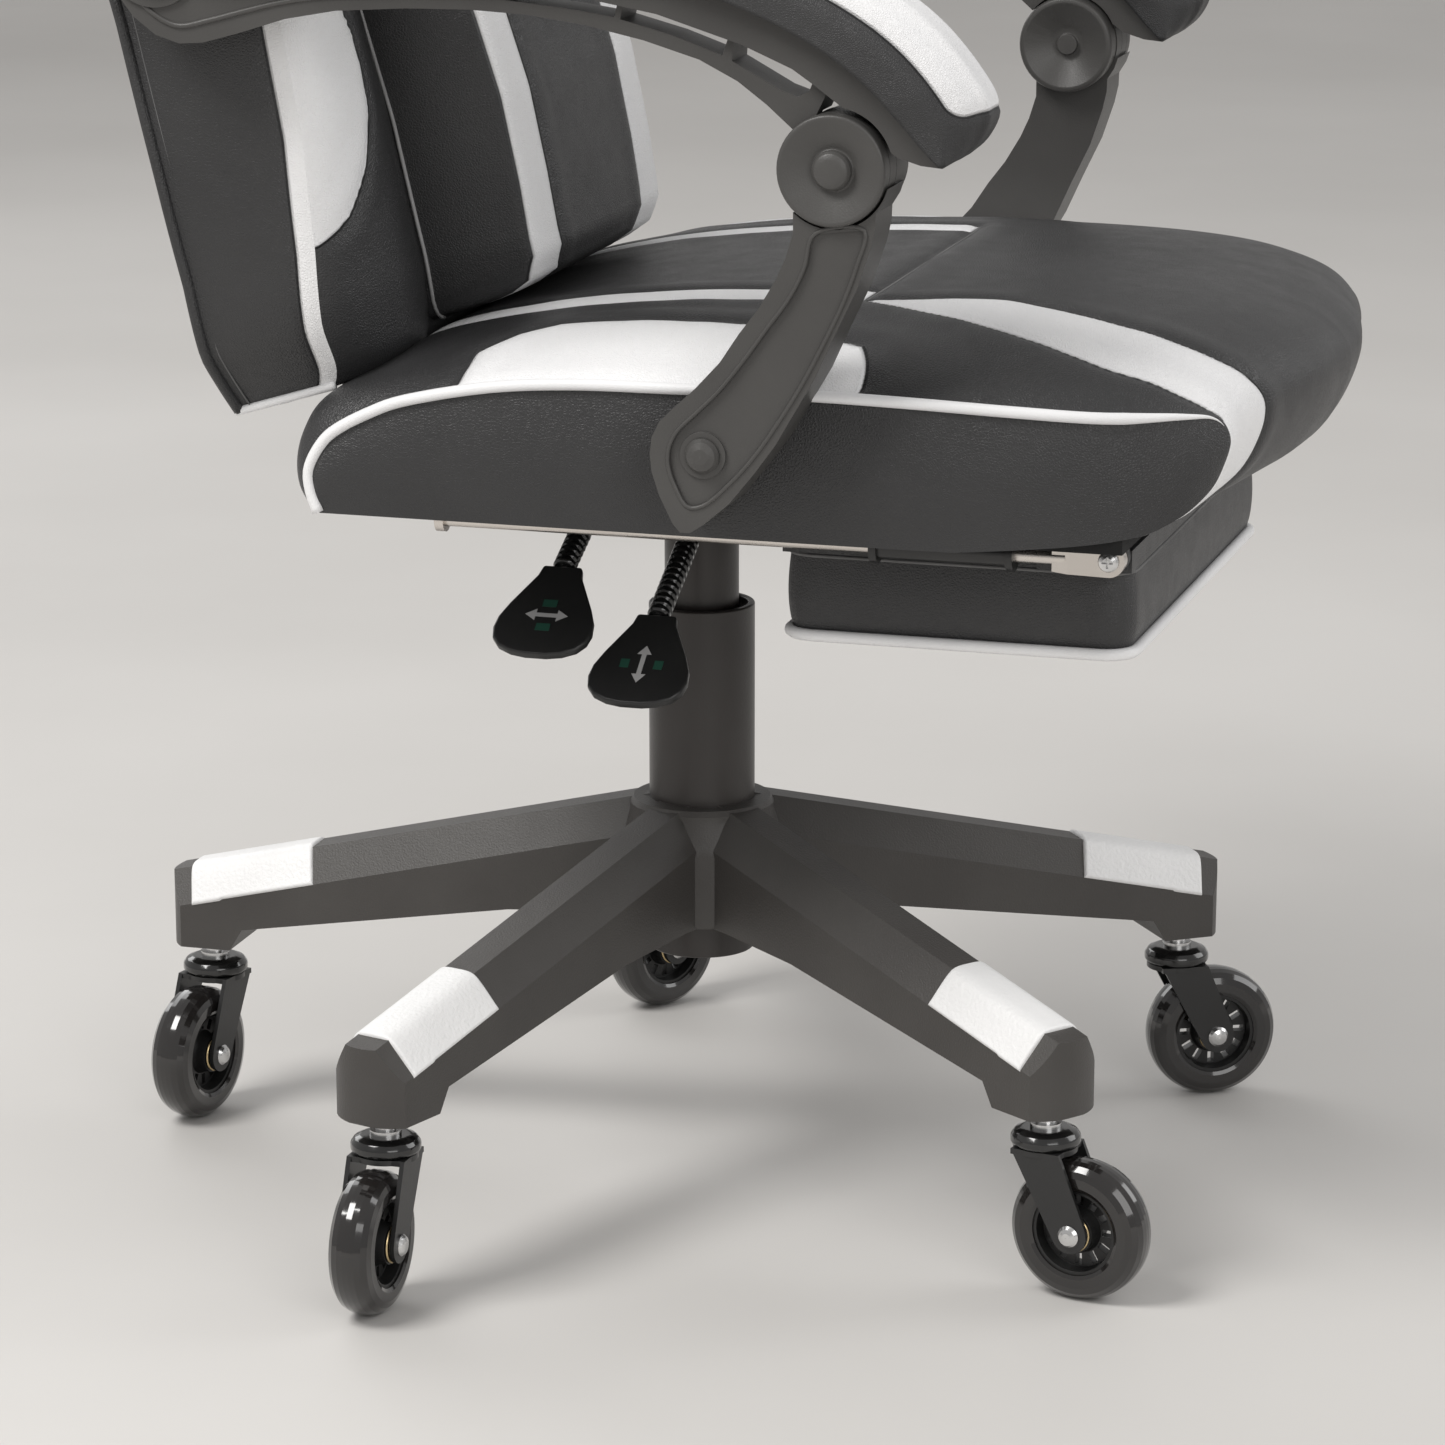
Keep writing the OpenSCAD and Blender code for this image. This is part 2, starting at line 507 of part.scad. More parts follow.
module pivot_caps() {
  color([0.3, 0.3, 0.3]) union() {
    // front pivot: pin, outer dish with its button, inner dish
    bar_x(-275, -236, b_y, b_z, 6);
    translate([-271.2, b_y, b_z]) rotate([0, -90, 0])
      rotate_extrude() polygon([[0, 0], [dish_r, 0], [dish_r, 9.4], [dish_r - 0.8, 10.4], [dish_r - 2.6, 10.6], [11, 5.4], [10, 5.6], [10, 8.6],
        [8.6, 10.6], [5.5, 11.8], [0, 12.2]]);
    translate([-link_in + 0.3, b_y, b_z]) rotate([0, 90, 0])
      rotate_extrude() polygon([[0, 0], [dish_r - 0.5, 0], [dish_r - 0.5, 12], [dish_r - 1.5, 13.4], [dish_r - 3.5, 13.8], [10, 6.4], [0, 5.8]]);
    // rear pivot: bolt and its cap
    bar_x(-274, -240.2, c_y, c_z, 6);
    translate([-272.2, c_y, c_z]) rotate([0, -90, 0])
      rotate_extrude() polygon([[0, 0], [18, 0], [18, 2], [16.5, 4.2], [12, 5.6], [0, 6.4]]);
  }
}

module caster_fork_1() caster_fork(0);
module caster_fork_2() caster_fork(1);
module caster_fork_3() caster_fork(2);
module caster_fork_4() caster_fork(3);
module caster_fork_5() caster_fork(4);
module caster_axle_1() caster_axle(0);
module caster_axle_2() caster_axle(1);
module caster_axle_3() caster_axle(2);
module caster_axle_4() caster_axle(3);
module caster_axle_5() caster_axle(4);
module wheel_hub_1() wheel_hub(0);
module wheel_hub_2() wheel_hub(1);
module wheel_hub_3() wheel_hub(2);
module wheel_hub_4() wheel_hub(3);
module wheel_hub_5() wheel_hub(4);
module tyre_1() tyre(0);
module tyre_2() tyre(1);
module tyre_3() tyre(2);
module tyre_4() tyre(3);
module tyre_5() tyre(4);
module upright_right() upright();
module upright_left() mirror([1, 0, 0]) upright();
module arm_frame_right() arm_frame();
module arm_frame_left() mirror([1, 0, 0]) arm_frame();
module arm_pad_right() arm_pad();
module arm_pad_left() mirror([1, 0, 0]) arm_pad();
module pivot_caps_right() pivot_caps();
module pivot_caps_left() mirror([1, 0, 0]) pivot_caps();

star_base();
base_tip_caps();
column_outer_tube();
column_guide_bush();
piston_rod();
caster_stems();
caster_cups();
caster_fork_1();
caster_axle_1();
wheel_hub_1();
tyre_1();
caster_fork_2();
caster_axle_2();
wheel_hub_2();
tyre_2();
caster_fork_3();
caster_axle_3();
wheel_hub_3();
tyre_3();
caster_fork_4();
caster_axle_4();
wheel_hub_4();
tyre_4();
caster_fork_5();
caster_axle_5();
wheel_hub_5();
tyre_5();
column_inner_tube();
seat_cushion();
seat_board();
mechanism_plate();
mechanism_housing();
seat_fasteners();
footrest_guides();
recline_pin();
lift_lever_rod();
lift_lever_sleeve();
lift_lever_paddle();
lock_lever_rod();
lock_lever_sleeve();
lock_lever_paddle();
footrest_rods();
footrest_screws();
footrest_board();
footrest_pad();
back_bracket();
back_board();
back_centre_pad();
back_bolsters();
head_pillow();
head_pillow_strap();
arm_pivot_plates();
upright_right();
upright_left();
arm_frame_right();
arm_pad_right();
pivot_caps_right();
arm_frame_left();
arm_pad_left();
pivot_caps_left();
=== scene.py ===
"""Gaming chair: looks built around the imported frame. Lengths inside are millimetres, turned to metres on making a mesh."""
import json
import math
import bpy
import bmesh
import numpy as np
from mathutils import Vector, Matrix

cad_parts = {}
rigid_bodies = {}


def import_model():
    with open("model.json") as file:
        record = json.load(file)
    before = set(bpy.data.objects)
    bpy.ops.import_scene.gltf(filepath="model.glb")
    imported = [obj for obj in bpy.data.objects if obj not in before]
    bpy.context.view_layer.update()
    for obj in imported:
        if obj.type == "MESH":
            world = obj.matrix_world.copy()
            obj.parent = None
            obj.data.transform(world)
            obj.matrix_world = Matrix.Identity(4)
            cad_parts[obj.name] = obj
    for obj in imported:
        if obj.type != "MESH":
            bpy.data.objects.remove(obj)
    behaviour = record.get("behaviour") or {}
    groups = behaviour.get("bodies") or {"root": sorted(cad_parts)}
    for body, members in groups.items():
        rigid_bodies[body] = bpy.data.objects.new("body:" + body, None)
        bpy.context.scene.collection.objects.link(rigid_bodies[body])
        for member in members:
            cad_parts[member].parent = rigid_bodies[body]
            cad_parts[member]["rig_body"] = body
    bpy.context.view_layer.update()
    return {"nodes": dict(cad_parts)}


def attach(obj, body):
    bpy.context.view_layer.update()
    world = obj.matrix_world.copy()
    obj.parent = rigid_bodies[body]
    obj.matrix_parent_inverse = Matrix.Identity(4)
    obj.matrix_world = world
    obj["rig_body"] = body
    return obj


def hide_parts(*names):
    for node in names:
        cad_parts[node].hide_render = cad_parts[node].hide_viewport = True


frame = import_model()
NODES = frame["nodes"]
MM = 0.001
rng = np.random.default_rng(7)

# ------------------------------------------------------------------ camera, light, floor
scene = bpy.context.scene
cam_data = bpy.data.cameras.new("camera")
cam = bpy.data.objects.new("camera", cam_data)
scene.collection.objects.link(cam)
cam.location = (-2.847, -0.856, 1.012)
yaw, pitch = math.radians(16.51), math.radians(-16.7)
look = Vector((math.cos(pitch) * math.cos(yaw), math.cos(pitch) * math.sin(yaw), math.sin(pitch)))
cam.rotation_euler = look.to_track_quat("-Z", "Y").to_euler()
cam_data.sensor_width = 36
cam_data.lens = 134.36
cam_data.shift_x = 0.0
cam_data.shift_y = 0.1574
cam_data.clip_start = 0.05
cam_data.clip_end = 60
scene.camera = cam
scene.view_settings.view_transform = "Standard"
scene.view_settings.look = "None"
scene.view_settings.exposure = 0.0

world = bpy.data.worlds.new("world")
scene.world = world
world.use_nodes = True
world.node_tree.nodes["Background"].inputs[0].default_value = (1.0, 0.985, 0.97, 1)
world.node_tree.nodes["Background"].inputs[1].default_value = 0.48


def area_light(name, loc, target, size, power, color=(1, 1, 1), size_y=None):
    d = bpy.data.lights.new(name, "AREA")
    d.energy = power
    d.size = size
    if size_y:
        d.shape = "RECTANGLE"
        d.size_y = size_y
    d.color = color
    o = bpy.data.objects.new(name, d)
    scene.collection.objects.link(o)
    o.location = loc
    o.rotation_euler = (Vector(target) - Vector(loc)).to_track_quat("-Z", "Y").to_euler()
    return o


area_light("key", (-1.6, 1.4, 3.0), (0, 0, 0.4), 1.3, 78, (1, 0.985, 0.965))
area_light("front", (-3.2, -2.6, 2.2), (0, 0, 0.5), 2.4, 46, (1, 0.99, 0.98))
area_light("right", (1.4, -2.8, 2.0), (0, -0.1, 0.5), 1.8, 26, (1, 1, 1))
area_light("rear", (2.2, 2.6, 2.4), (0, 0, 0.8), 2.2, 30, (1, 1, 1))


def new_mat(name):
    m = bpy.data.materials.new(name)
    m.use_nodes = True
    return m, m.node_tree, m.node_tree.nodes["Principled BSDF"]


def link(t, a, b):
    t.links.new(a, b)


def node(t, kind, **kw):
    n = t.nodes.new(kind)
    for k, v in kw.items():
        if k.startswith("in_"):
            n.inputs[int(k[3:])].default_value = v
        else:
            setattr(n, k, v)
    return n


def coords(t):
    return t.nodes.new("ShaderNodeTexCoord").outputs["Object"]


def grain_height(t, vec, scale, wrinkle=0.0):
    """Pebble grain: cells with a little noise, in object space so it never stretches."""
    noise = node(t, "ShaderNodeTexNoise")
    noise.inputs["Scale"].default_value = scale * 0.35
    noise.inputs["Detail"].default_value = 3
    link(t, vec, noise.inputs["Vector"])
    warp = node(t, "ShaderNodeMixRGB", blend_type="LINEAR_LIGHT")
    warp.inputs[0].default_value = 0.0008
    link(t, vec, warp.inputs[1])
    link(t, noise.outputs["Color"], warp.inputs[2])
    vor = node(t, "ShaderNodeTexVoronoi", feature="DISTANCE_TO_EDGE")
    vor.inputs["Scale"].default_value = scale
    link(t, warp.outputs[0], vor.inputs["Vector"])
    ramp = node(t, "ShaderNodeMapRange")
    ramp.inputs["From Max"].default_value = 0.28
    link(t, vor.outputs["Distance"], ramp.inputs["Value"])
    fine = node(t, "ShaderNodeTexNoise")
    fine.inputs["Scale"].default_value = scale * 2.2
    fine.inputs["Detail"].default_value = 4
    link(t, vec, fine.inputs["Vector"])
    add = node(t, "ShaderNodeMath", operation="MULTIPLY_ADD")
    add.inputs[1].default_value = 0.5
    link(t, fine.outputs["Fac"], add.inputs[0])
    link(t, ramp.outputs[0], add.inputs[2])
    out = add.outputs[0]
    if wrinkle:
        big = node(t, "ShaderNodeTexNoise")
        big.inputs["Scale"].default_value = 26
        big.inputs["Detail"].default_value = 5
        big.inputs["Roughness"].default_value = 0.55
        link(t, vec, big.inputs["Vector"])
        add2 = node(t, "ShaderNodeMath", operation="MULTIPLY_ADD")
        add2.inputs[1].default_value = wrinkle
        link(t, big.outputs["Fac"], add2.inputs[0])
        link(t, out, add2.inputs[2])
        out = add2.outputs[0]
    return out


def vary(t, vec, a, b, scale=9.0, detail=6):
    """Slow colour variation between two colours."""
    n = node(t, "ShaderNodeTexNoise")
    n.inputs["Scale"].default_value = scale
    n.inputs["Detail"].default_value = detail
    link(t, vec, n.inputs["Vector"])
    mr = node(t, "ShaderNodeMapRange")
    mr.inputs["From Min"].default_value = 0.32
    mr.inputs["From Max"].default_value = 0.68
    link(t, n.outputs["Fac"], mr.inputs["Value"])
    mix = node(t, "ShaderNodeMixRGB")
    mix.inputs[1].default_value = (*a, 1)
    mix.inputs[2].default_value = (*b, 1)
    link(t, mr.outputs[0], mix.inputs[0])
    return mix.outputs[0]


def range_of(t, value, lo, hi):
    mr = node(t, "ShaderNodeMapRange")
    mr.inputs["To Min"].default_value = lo
    mr.inputs["To Max"].default_value = hi
    link(t, value, mr.inputs["Value"])
    return mr.outputs[0]


BLACK_A, BLACK_B = (0.025, 0.025, 0.026), (0.034, 0.034, 0.035)
WHITE_A, WHITE_B = (0.80, 0.80, 0.81), (0.86, 0.86, 0.865)


def leather(name, two_tone=False, white=False, rough=0.42, grain=620):
    """Coated leather cloth. A two-tone one turns white where the mesh's panel attribute is above zero."""
    m, t, b = new_mat(name)
    vec = coords(t)
    h = grain_height(t, vec, grain, 2.2)
    black = vary(t, vec, BLACK_A, BLACK_B)
    pale = vary(t, vec, WHITE_A, WHITE_B)
    bump = node(t, "ShaderNodeBump")
    bump.inputs["Distance"].default_value = 0.00022 if not white else 0.00008
    bump.inputs["Strength"].default_value = 0.8
    link(t, h, bump.inputs["Height"])
    rn = node(t, "ShaderNodeTexNoise")
    rn.inputs["Scale"].default_value = 60
    link(t, vec, rn.inputs["Vector"])
    r = range_of(t, rn.outputs["Fac"], rough - 0.07, rough + 0.09)
    if two_tone:
        at = node(t, "ShaderNodeAttribute", attribute_name="panel")
        mask = node(t, "ShaderNodeMapRange")
        mask.inputs["From Min"].default_value = -0.15
        mask.inputs["From Max"].default_value = 0.15
        link(t, at.outputs["Fac"], mask.inputs["Value"])
        mix = node(t, "ShaderNodeMixRGB")
        link(t, mask.outputs[0], mix.inputs[0])
        link(t, black, mix.inputs[1])
        link(t, pale, mix.inputs[2])
        # the sewn joint between the panels: a shallow valley with the shade that sits in it
        seam = node(t, "ShaderNodeMath", operation="ABSOLUTE")
        link(t, at.outputs["Fac"], seam.inputs[0])
        valley = node(t, "ShaderNodeMapRange", interpolation_type="SMOOTHSTEP")
        valley.inputs["From Max"].default_value = 1.5
        link(t, seam.outputs[0], valley.inputs["Value"])
        dark = node(t, "ShaderNodeMixRGB", blend_type="MULTIPLY")
        dark.inputs[0].default_value = 1.0
        shade = node(t, "ShaderNodeMapRange", interpolation_type="SMOOTHSTEP")
        shade.inputs["From Max"].default_value = 0.7
        shade.inputs["To Min"].default_value = 0.35
        link(t, seam.outputs[0], shade.inputs["Value"])
        link(t, mix.outputs[0], dark.inputs[1])
        link(t, shade.outputs[0], dark.inputs[2])
        link(t, dark.outputs[0], b.inputs["Base Color"])
        b2 = node(t, "ShaderNodeBump")
        b2.inputs["Distance"].default_value = 0.0012
        link(t, valley.outputs[0], b2.inputs["Height"])
        link(t, bump.outputs[0], b2.inputs["Normal"])
        link(t, b2.outputs[0], b.inputs["Normal"])
    else:
        link(t, pale if white else black, b.inputs["Base Color"])
        link(t, bump.outputs[0], b.inputs["Normal"])
    link(t, r, b.inputs["Roughness"])
    b.inputs["Specular IOR Level"].default_value = 0.5
    return m


def moulded(name, a, b_col, rough, bump_scale, bump_dist, spec=0.45, coat=0.0, metallic=0.0, detail=3):
    """Moulded plastic or coated metal with its own surface texture."""
    m, t, b = new_mat(name)
    vec = coords(t)
    link(t, vary(t, vec, a, b_col, 14), b.inputs["Base Color"])
    n = node(t, "ShaderNodeTexNoise")
    n.inputs["Scale"].default_value = bump_scale
    n.inputs["Detail"].default_value = detail
    link(t, vec, n.inputs["Vector"])
    bump = node(t, "ShaderNodeBump")
    bump.inputs["Distance"].default_value = bump_dist
    link(t, n.outputs["Fac"], bump.inputs["Height"])
    link(t, bump.outputs[0], b.inputs["Normal"])
    rn = node(t, "ShaderNodeTexNoise")
    rn.inputs["Scale"].default_value = 35
    rn.inputs["Detail"].default_value = 5
    link(t, vec, rn.inputs["Vector"])
    link(t, range_of(t, rn.outputs["Fac"], rough - 0.05, rough + 0.06), b.inputs["Roughness"])
    b.inputs["Specular IOR Level"].default_value = spec
    b.inputs["Coat Weight"].default_value = coat
    b.inputs["Coat Roughness"].default_value = 0.08
    b.inputs["Metallic"].default_value = metallic
    return m


M = {
    "leather": leather("leather_black"),
    "two_tone": leather("leather_two_tone", two_tone=True),
    "white": leather("leather_white", white=True, rough=0.42),
    "nylon": moulded("nylon_dark", (0.052, 0.048, 0.045), (0.064, 0.060, 0.056), 0.44, 900, 0.00022),
    "nylon_white": moulded("nylon_white", (0.82, 0.82, 0.82), (0.88, 0.88, 0.88), 0.42, 430, 0.0005),
    "column": moulded("column_paint", (0.034, 0.030, 0.028), (0.044, 0.039, 0.036), 0.36, 500, 0.00008),
    "gloss": moulded("gloss_black", (0.008, 0.008, 0.008), (0.013, 0.013, 0.013), 0.14, 200, 0.00003, coat=0.6),
    "steel_black": moulded("steel_black", (0.012, 0.012, 0.012), (0.020, 0.020, 0.020), 0.30, 700, 0.00005, coat=0.2),
    "hub": moulded("hub_black", (0.010, 0.010, 0.010), (0.018, 0.018, 0.018), 0.38, 600, 0.00006),
    "zinc": moulded("zinc_steel", (0.60, 0.60, 0.60), (0.72, 0.72, 0.72), 0.24, 260, 0.00005, metallic=1.0),
    "nickel": moulded("nickel_rod", (0.60, 0.56, 0.52), (0.70, 0.66, 0.62), 0.26, 300, 0.00004, metallic=1.0),
    "gold": moulded("bearing_shield", (0.55, 0.42, 0.22), (0.66, 0.52, 0.30), 0.3, 300, 0.00004, metallic=1.0),
    "arm": moulded("arm_plastic", (0.060, 0.058, 0.056), (0.072, 0.070, 0.067), 0.42, 1100, 0.00012),
    "pad": leather("arm_pad_skin", two_tone=True, rough=0.5, grain=900),
    "paddle": moulded("paddle_plastic", (0.018, 0.018, 0.018), (0.026, 0.026, 0.026), 0.36, 900, 0.00006),
    "elastic": moulded("elastic_band", (0.012, 0.012, 0.012), (0.03, 0.03, 0.03), 0.8, 1500, 0.0003),
    "ply": moulded("plywood", (0.42, 0.28, 0.16), (0.55, 0.40, 0.25), 0.6, 90, 0.0002),
    "piping_grey": moulded("piping_grey", (0.34, 0.34, 0.34), (0.42, 0.42, 0.42), 0.5, 500, 0.00005),
    "thread": moulded("thread_grey", (0.10, 0.10, 0.10), (0.16, 0.16, 0.16), 0.7, 900, 0.0002),
    "under": moulded("under_cloth", (0.010, 0.010, 0.010), (0.018, 0.018, 0.018), 0.9, 1600, 0.0003),
    "ink_pale": moulded("ink_pale", (0.45, 0.45, 0.45), (0.55, 0.55, 0.55), 0.4, 400, 0.00003),
    "ink_green": moulded("ink_green", (0.020, 0.075, 0.052), (0.026, 0.095, 0.066), 0.4, 400, 0.00003),
}


def smoky():
    m, t, b = new_mat("tyre_smoke")
    vec = coords(t)
    link(t, vary(t, vec, (0.010, 0.009, 0.009), (0.018, 0.016, 0.015), 20), b.inputs["Base Color"])
    n = node(t, "ShaderNodeTexNoise")
    n.inputs["Scale"].default_value = 90
    link(t, vec, n.inputs["Vector"])
    link(t, range_of(t, n.outputs["Fac"], 0.08, 0.15), b.inputs["Roughness"])
    bump = node(t, "ShaderNodeBump")
    bump.inputs["Distance"].default_value = 0.00004
    link(t, n.outputs["Fac"], bump.inputs["Height"])
    link(t, bump.outputs[0], b.inputs["Normal"])
    b.inputs["IOR"].default_value = 1.5
    b.inputs["Coat Weight"].default_value = 0.7
    b.inputs["Coat Roughness"].default_value = 0.04
    return m


M["tyre"] = smoky()

fm, ft, fb = new_mat("floor_pale")
fv = coords(ft)
link(ft, vary(ft, fv, (0.60, 0.585, 0.565), (0.66, 0.645, 0.625), 1.2), fb.inputs["Base Color"])
fb.inputs["Roughness"].default_value = 0.55
fme = bpy.data.meshes.new("floor")
S = 14.0
fme.from_pydata([(-S, -S, 0), (S, -S, 0), (S, S, 0), (-S, S, 0)], [], [(0, 1, 2, 3)])
floor = bpy.data.objects.new("floor", fme)
scene.collection.objects.link(floor)
fme.materials.append(fm)


# ------------------------------------------------------------------ mesh helpers
def obj_from(name, verts, faces, mat, smooth=True, attr=None, mats=None, face_mat=None):
    me = bpy.data.meshes.new(name)
    me.from_pydata((np.asarray(verts, float) * MM).tolist(), [], [list(map(int, f)) for f in faces])
    me.materials.append(M[mat])
    for extra in mats or []:
        me.materials.append(M[extra])
    if face_mat is not None:
        me.polygons.foreach_set("material_index", np.asarray(face_mat, np.int32))
    if attr is not None:
        a = me.attributes.new("panel", "FLOAT", "POINT")
        a.data.foreach_set("value", np.asarray(attr, np.float32))
    me.polygons.foreach_set("use_smooth", [smooth] * len(me.polygons))
    me.update()
    o = bpy.data.objects.new(name, me)
    scene.collection.objects.link(o)
    return o


def grid_faces(nu, nv, wrap_u=False, wrap_v=False, off=0, flip=False):
    f = []
    for i in range(nu if wrap_u else nu - 1):
        for j in range(nv if wrap_v else nv - 1):
            a, b = i * nv + j, ((i + 1) % nu) * nv + j
            c, d = ((i + 1) % nu) * nv + (j + 1) % nv, i * nv + (j + 1) % nv
            f.append((off + a, off + d, off + c, off + b) if flip else (off + a, off + b, off + c, off + d))
    return f


def recalc(o):
    bm = bmesh.new()
    bm.from_mesh(o.data)
    bmesh.ops.recalc_face_normals(bm, faces=bm.faces)
    bm.to_mesh(o.data)
    bm.free()
    return o


def weld(o, dist=0.02):
    bm = bmesh.new()
    bm.from_mesh(o.data)
    bmesh.ops.remove_doubles(bm, verts=bm.verts, dist=dist * MM)
    bmesh.ops.recalc_face_normals(bm, faces=bm.faces)
    bm.to_mesh(o.data)
    bm.free()
    return o


def resample(pts, n, closed=False, smooth=True):
    """Even points along a smooth curve through pts."""
    p = np.asarray(pts, float)
    if closed:
        p = np.vstack([p, p[:1]])
    if smooth and len(p) > 2:
        out = []
        ext = np.vstack([p[-2] if closed else 2 * p[0] - p[1], p, p[1] if closed else 2 * p[-1] - p[-2]])
        for i in range(1, len(ext) - 2):
            p0, p1, p2, p3 = ext[i - 1], ext[i], ext[i + 1], ext[i + 2]
            t0 = 0.0
            t1 = t0 + max(np.linalg.norm(p1 - p0), 1e-6) ** 0.5
            t2 = t1 + max(np.linalg.norm(p2 - p1), 1e-6) ** 0.5
            t3 = t2 + max(np.linalg.norm(p3 - p2), 1e-6) ** 0.5
            for t in np.linspace(t1, t2, 12, endpoint=False):
                a1 = (t1 - t) / (t1 - t0) * p0 + (t - t0) / (t1 - t0) * p1
                a2 = (t2 - t) / (t2 - t1) * p1 + (t - t1) / (t2 - t1) * p2
                a3 = (t3 - t) / (t3 - t2) * p2 + (t - t2) / (t3 - t2) * p3
                b1 = (t2 - t) / (t2 - t0) * a1 + (t - t0) / (t2 - t0) * a2
                b2 = (t3 - t) / (t3 - t1) * a2 + (t - t1) / (t3 - t1) * a3
                out.append((t2 - t) / (t2 - t1) * b1 + (t - t1) / (t2 - t1) * b2)
        out.append(p[-1])
        p = np.array(out)
    d = np.r_[0, np.cumsum(np.linalg.norm(np.diff(p, axis=0), axis=1))]
    s = np.linspace(0, d[-1], n + 1 if closed else n)
    q = np.stack([np.interp(s, d, p[:, k]) for k in range(p.shape[1])], 1)
    return q[:-1] if closed else q


def tube(name, pts, r, mat, n=None, closed=False, sides=10, taper=0.0, step=4.0, smooth=True, rad=None):
    """Round cord swept along a smooth line: piping, trims and rods."""
    p = np.asarray(pts, float)
    length = np.linalg.norm(np.diff(p, axis=0), axis=1).sum()
    n = n or max(8, int(length / step))
    p = resample(p, n, closed, smooth)
    k = len(p)
    tan = np.roll(p, -1, 0) - np.roll(p, 1, 0) if closed else np.gradient(p, axis=0)
    tan /= np.linalg.norm(tan, axis=1)[:, None]
    nrm = np.zeros_like(p)
    ref = np.array([0, 0, 1.0]) if abs(tan[0][2]) < 0.9 else np.array([1.0, 0, 0])
    v = np.cross(tan[0], ref)
    v /= np.linalg.norm(v)
    for i in range(k):
        v = v - tan[i] * (v @ tan[i])
        v /= np.linalg.norm(v)
        nrm[i] = v
    bi = np.cross(tan, nrm)
    verts = []
    for i in range(k):
        e = 1.0
        if taper and not closed:
            e = min(1.0, math.sqrt(max(1e-4, min(i, k - 1 - i) * step / taper)) + 0.25) if min(i, k - 1 - i) * step < taper else 1.0
        if rad is not None:
            e = rad[i]
        for a in range(sides):
            th = 2 * math.pi * a / sides
            verts.append(p[i] + r * e * (math.cos(th) * nrm[i] + math.sin(th) * bi[i]))
    faces = grid_faces(k, sides, wrap_u=closed, wrap_v=True)
    if not closed:
        faces.append(list(range(sides))[::-1])
        faces.append([(k - 1) * sides + a for a in range(sides)])
    return recalc(obj_from(name, verts, faces, mat))


def poly_sdf(px, py, poly):
    """Signed distance to a polygon, positive inside."""
    poly = np.asarray(poly, float)
    x, y = np.asarray(px, float), np.asarray(py, float)
    d = np.full(x.shape, 1e18)
    inside = np.zeros(x.shape, bool)
    n = len(poly)
    for i in range(n):
        a, b = poly[i], poly[(i + 1) % n]
        ex, ey = b - a
        wx, wy = x - a[0], y - a[1]
        L = max(ex * ex + ey * ey, 1e-12)
        t = np.clip((wx * ex + wy * ey) / L, 0, 1)
        d = np.minimum(d, (wx - ex * t) ** 2 + (wy - ey * t) ** 2)
        c = ((a[1] <= y) & (b[1] > y)) | ((b[1] <= y) & (a[1] > y))
        with np.errstate(divide="ignore", invalid="ignore"):
            xi = a[0] + (y - a[1]) / (b[1] - a[1] + 1e-12) * ex
        inside ^= c & (x < xi)
    return np.where(inside, 1, -1) * np.sqrt(d)


def soften(node_name, mat, width=0.9, segs=2, angle=28, body=None):
    """The CAD piece with real rounded edges."""
    src = NODES[node_name]
    o = bpy.data.objects.new("soft_" + node_name, src.data.copy())
    scene.collection.objects.link(o)
    bm = bmesh.new()
    bm.from_mesh(o.data)
    bmesh.ops.remove_doubles(bm, verts=bm.verts, dist=2e-5)
    bmesh.ops.dissolve_limit(bm, angle_limit=math.radians(0.6), verts=bm.verts, edges=bm.edges)
    bmesh.ops.recalc_face_normals(bm, faces=bm.faces)
    bm.to_mesh(o.data)
    bm.free()
    o.data.polygons.foreach_set("use_smooth", [True] * len(o.data.polygons))
    mod = o.modifiers.new("edge", "BEVEL")
    mod.width = width * MM
    mod.segments = segs
    mod.limit_method = "ANGLE"
    mod.angle_limit = math.radians(angle)
    mod.use_clamp_overlap = True
    mod.harden_normals = False
    wn = o.modifiers.new("wn", "WEIGHTED_NORMAL")
    wn.keep_sharp = True
    wn.weight = 80
    bpy.context.view_layer.objects.active = o
    for ob in bpy.context.selected_objects:
        ob.select_set(False)
    o.select_set(True)
    bpy.ops.object.modifier_apply(modifier=mod.name)
    bpy.ops.object.modifier_apply(modifier=wn.name)
    o.data.materials.clear()
    o.data.materials.append(M[mat])
    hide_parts(node_name)
    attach(o, body or src["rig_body"])
    return o


def paint(node_name, mat):
    o = NODES[node_name]
    for s in o.material_slots:
        s.material = M[mat]
    if not o.material_slots:
        o.data.materials.append(M[mat])


# ------------------------------------------------------------------ base, column, casters
soften("star_base", "nylon", 2.2, 3)

